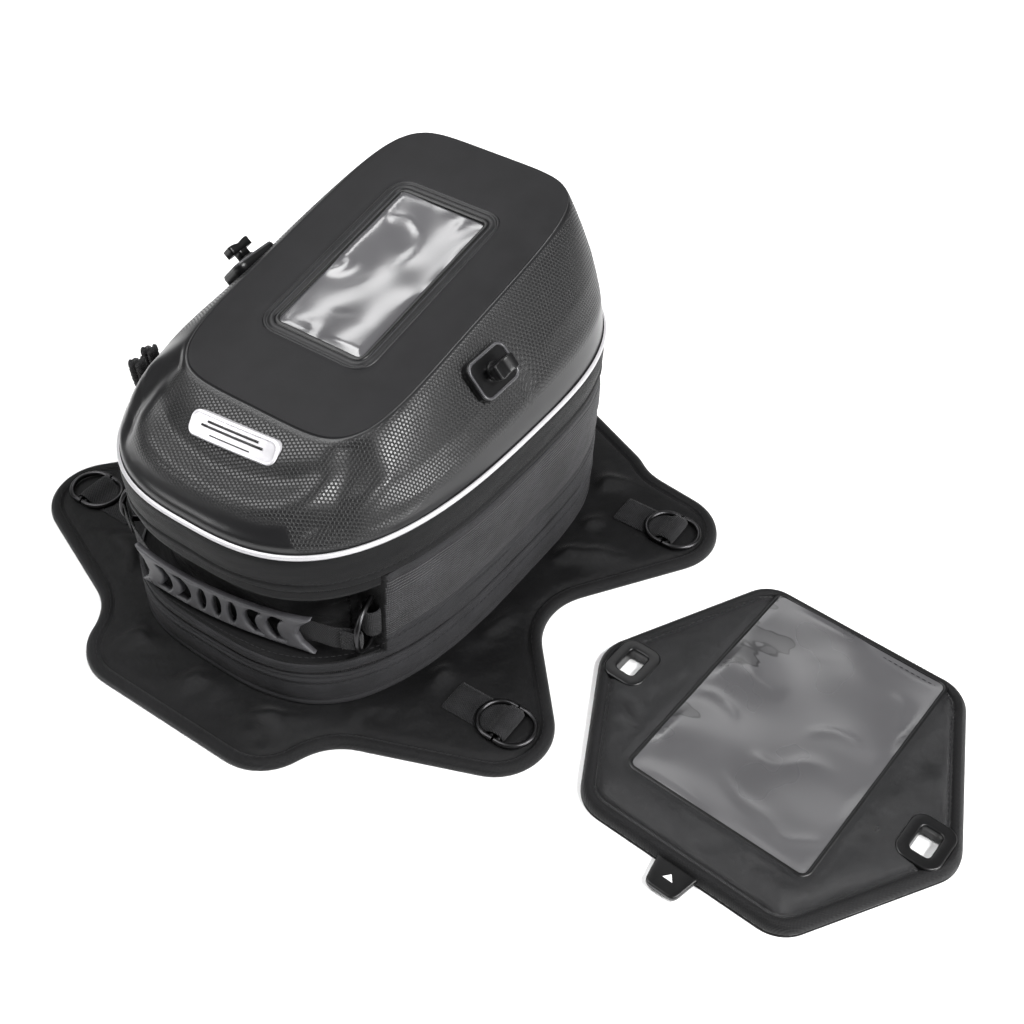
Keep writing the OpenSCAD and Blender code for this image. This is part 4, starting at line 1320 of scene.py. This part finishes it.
def case_outline():
    ring = circle(np.linspace(0, TAU, 97)[:-1])
    points = np.vstack([np.array([s * x, y]) + r * ring for x, y, r in CORNERS for s in (-1, 1)])
    return resample(anticlockwise(hull_of(points)), 2.6)


def case_cover(outline, opening, holes):
    """The padded front: a bound edge, a sunk seam, and pleats towards its left corner."""
    keys = [(0, 3.2), (0.6, 6.4), (1.8, 8.6), (4, 10.4), (6.6, 10.1), (8.2, 8.4), (9.0, 6.9),
            (10, 8.2), (12.5, 9.8), (20, 10.8)]

    def height(points, away):
        edge = edge_distance(points, [outline])
        frame_gap = edge_distance(points, [opening])
        z = np.interp(edge, *zip(*keys))
        p = at_height(points)
        free = smooth(edge, 10, 26) * smooth(frame_gap, 3, 16)
        for side, _ in SIDES:
            socket_gap = np.hypot(points[:, 0] - side * SOCKET_X, points[:, 1])
            free = free * smooth(socket_gap, 20, 34)
        left = smooth(points[:, 0], -70, -100) * smooth(points[:, 1], -4, -30)
        pleats = 1.9 * np.sin(points[:, 1] / 3.8 + 2.6 * swell(p, 60, 52)) * left
        z = z + free * (1.5 * swell(p, 70, 41) + 0.5 * swell(p, 26, 43) + pleats)
        return z - 0.8 * smooth(frame_gap, 4.5, 1.5) * smooth(edge, 8, 12)

    o = slab("case_cover", [outline, opening] + holes, 2.6, height, M_CASE,
             (0, 0.6, 1.8, 4, 6.6, 8.2, 9.0, 10, 12.5), 3.6, on_case)
    o.data.materials.append(M_BIND)
    middle = at_height(face_middles(o)[:, :2]) - [CASE_X, CASE_Y, 0]
    local = turned(middle, -CASE_TURN)[:, :2]
    paint(o, (edge_distance(local, [outline]) < 8.6) & inside(local, outline))
    belongs(o, "map_case", "coated_fabric", "case_front", "case_edge")
    return height


def map_case():
    outline = case_outline()
    w, l = CASE_WINDOW_W, CASE_WINDOW_L
    opening = rounded_rectangle(w, l, 6, 2.6) + [0, CASE_MID]
    holes = [rounded_rectangle(HOLE_W + 5, HOLE_L + 5, 4, 1.6) + [side * SOCKET_X, 0]
             for side, _ in SIDES]
    height = case_cover(outline, opening, holes)
    back = slab("case_back_cloth", [outline] + holes, 0.0,
                lambda p, away: 2.6 - 1.2 * smooth(away, 3, 0), M_BAND, (0, 1, 3), 9, on_case)
    belongs(back, "map_case", "coated_fabric", "case_back")
    floor = slab("case_inner_sheet", [rounded_rectangle(w + 4, l + 4, 7, 5) + [0, CASE_MID]],
                 2.7, wavy(3.3, 0.3, 50, 61), M_INSIDE, (0, 2), 9, on_case)
    belongs(floor, "map_case", "woven_fabric")
    a = np.arange(11) * TAU / 10
    welt = ring_round(w - 0.6, l - 0.6, 5.6, circle(a) * [1.5, 0.7] + [0, 9.7], 2.4)
    welt = grid("case_window_welt", (welt + [0, CASE_MID, 0])[::-1], M_BLACK, place=on_case)
    belongs(welt, "map_case", "coated_fabric")
    clear_sheet("case_clear", w, l, 5, on_case, M_CASE_FILM, "map_case", "case_film", 9.7, 47,
                1.2, 40, CASE_MID, 0.9, (0.12, 1.0))
    line = shrink(outline, 10.6)
    path = at_height(line, height(line, None) + 0.1)
    stitches("case_stitches", on_case(np.vstack([path, path[:1]])), "map_case")
    for side, name in SIDES:
        centre = [side * SOCKET_X, 0]
        o = slab("socket_plate_" + name,
                 [rounded_rectangle(30, 36, 9, 1.0) + centre,
                  rounded_rectangle(HOLE_W, HOLE_L, 3, 0.9) + centre],
                 1.6, rounding(11.6, 1.2), M_BLACK, rows_for(1.2), 2.4, on_case)
        belongs(o, "map_case", "black_plastic", "case_socket_" + name)
    tongue()


TONGUE = [(-14, -102), (-10, -124), (-8, -126), (10, -126), (12, -124), (16, -102)]


def tongue():
    """The soft tab at the map case's front, with a plain printed triangle."""
    loop = resample(anticlockwise(np.array(TONGUE, float)), 1.4)
    for _ in range(3):
        loop = (np.roll(loop, 1, 0) + 2 * loop + np.roll(loop, -1, 0)) / 4
    o = slab("case_tab", [loop], 3.0, rounding(6.3, 1.2), M_BLACK, rows_for(1.2), 2.6, on_case)
    belongs(o, "map_case", "grip_rubber", "case_tongue")
    mark = np.array([(-2.6, -117), (4.6, -117), (1, -112.5)], float)
    mark = resample(anticlockwise(mark), 0.8)
    o = slab("case_tab_mark", [mark], 6.2, rounding(6.5, 0.2), M_PRINT, (0, 0.2), 2, on_case)
    belongs(o, "map_case", "grip_rubber")


# ---------- CAD nodes that stay ----------


def carried_over():
    for name, o in NODES.items():
        if o.hide_render:
            continue
        chosen, slot = M_STEEL, "dark_metal"
        if "magnet" in name:
            chosen, slot = M_MAGNET, "magnet_steel"
        elif "lock_knob" in name:
            chosen, slot = M_BLACK, "black_plastic"
        o.data.materials.clear()
        o.data.materials.append(chosen)
        o.data.polygons.foreach_set("use_smooth", [True] * len(o.data.polygons))
        if "ring" not in name and "magnet" not in name:
            b = o.modifiers.new("round", "BEVEL")
            b.width, b.segments, b.limit_method, b.angle_limit = 0.45 * MM, 2, "ANGLE", 0.6
            o.modifiers.new("faces", "WEIGHTED_NORMAL")


# ---------- camera, lights and floor ----------


def aim(o, target):
    o.rotation_euler = (Vector(target) - o.location).to_track_quat("-Z", "Y").to_euler()


def camera():
    data = bpy.data.cameras.new("camera")
    o = bpy.data.objects.new("camera", data)
    bpy.context.scene.collection.objects.link(o)
    azimuth, elevation, distance = math.radians(34.94), math.radians(45.26), 1.0558
    target = Vector((0.0770, 0.0611, 0.0))
    level = math.cos(elevation)
    back = Vector((math.sin(azimuth) * level, -math.cos(azimuth) * level, math.sin(elevation)))
    o.location = target + back * distance
    aim(o, target)
    data.lens, data.sensor_width = 49.22, 36.0
    bpy.context.scene.camera = o


def softbox(name, place, target, size, power):
    data = bpy.data.lights.new(name, "AREA")
    data.shape, data.size, data.size_y, data.energy = "RECTANGLE", size[0], size[1], power
    o = bpy.data.objects.new(name, data)
    bpy.context.scene.collection.objects.link(o)
    o.location = place
    aim(o, target)


def floor_paper():
    m, t, s = tree_of("floor_paper")
    fibres = noise_at(t, 700, 2)
    colour = shades(t, fibres, (0.86, 0.86, 0.86), (0.9, 0.9, 0.9))
    finish_with(t, s, colour, 0.95, bumps(t, fibres, 0.02, 0.3), Specular_IOR_Level=0.1)
    return m


def studio():
    world = bpy.data.worlds.new("studio")
    world.use_nodes = True
    world.node_tree.nodes["Background"].inputs[0].default_value = (1, 1, 1, 1)
    world.node_tree.nodes["Background"].inputs[1].default_value = 0.15
    bpy.context.scene.world = world
    bpy.context.scene.view_settings.view_transform = "Standard"
    softbox("overhead_box", (-0.85, -0.45, 2.05), (0.05, -0.05, 0.1), (1.4, 1.0), 42)
    softbox("high_right_box", (1.40, -0.08, 1.78), (0.09, -0.1, 0.17), (1.0, 0.3), 62)
    softbox("low_right_box", (2.09, 0.15, 0.75), (0.1, -0.06, 0.16), (1.0, 0.5), 45)
    softbox("front_box", (-1.2, -1.43, 1.17), (0.0, -0.13, 0.17), (0.6, 0.5), 11)
    softbox("window_box", (-1.16, 0.78, 1.65), (0.0, 0.02, 0.21), (0.7, 0.5), 8)
    softbox("back_box", (-0.55, 1.6, 1.85), (0.3, -0.05, 0.0), (1.2, 0.7), 8)
    mesh = bpy.data.meshes.new("floor")
    mesh.from_pydata([(-9, -9, -0.0003), (9, -9, -0.0003), (9, 9, -0.0003), (-9, 9, -0.0003)], [],
                     [(0, 1, 2, 3)])
    o = bpy.data.objects.new("floor", mesh)
    bpy.context.scene.collection.objects.link(o)
    mesh.materials.append(floor_paper())


camera()
studio()
saddle_mat()
for sx, side_name in SIDES:
    for sy, end in ((-1, "front"), (1, "rear")):
        webbing_tab(sx, sy, end + "_" + side_name)
lower_bag()
bag_side()
lid()
hinge()
handle()
for end, (a, turn) in SLIDERS.items():
    cord_pull(end, a, turn)
map_case()
carried_over()
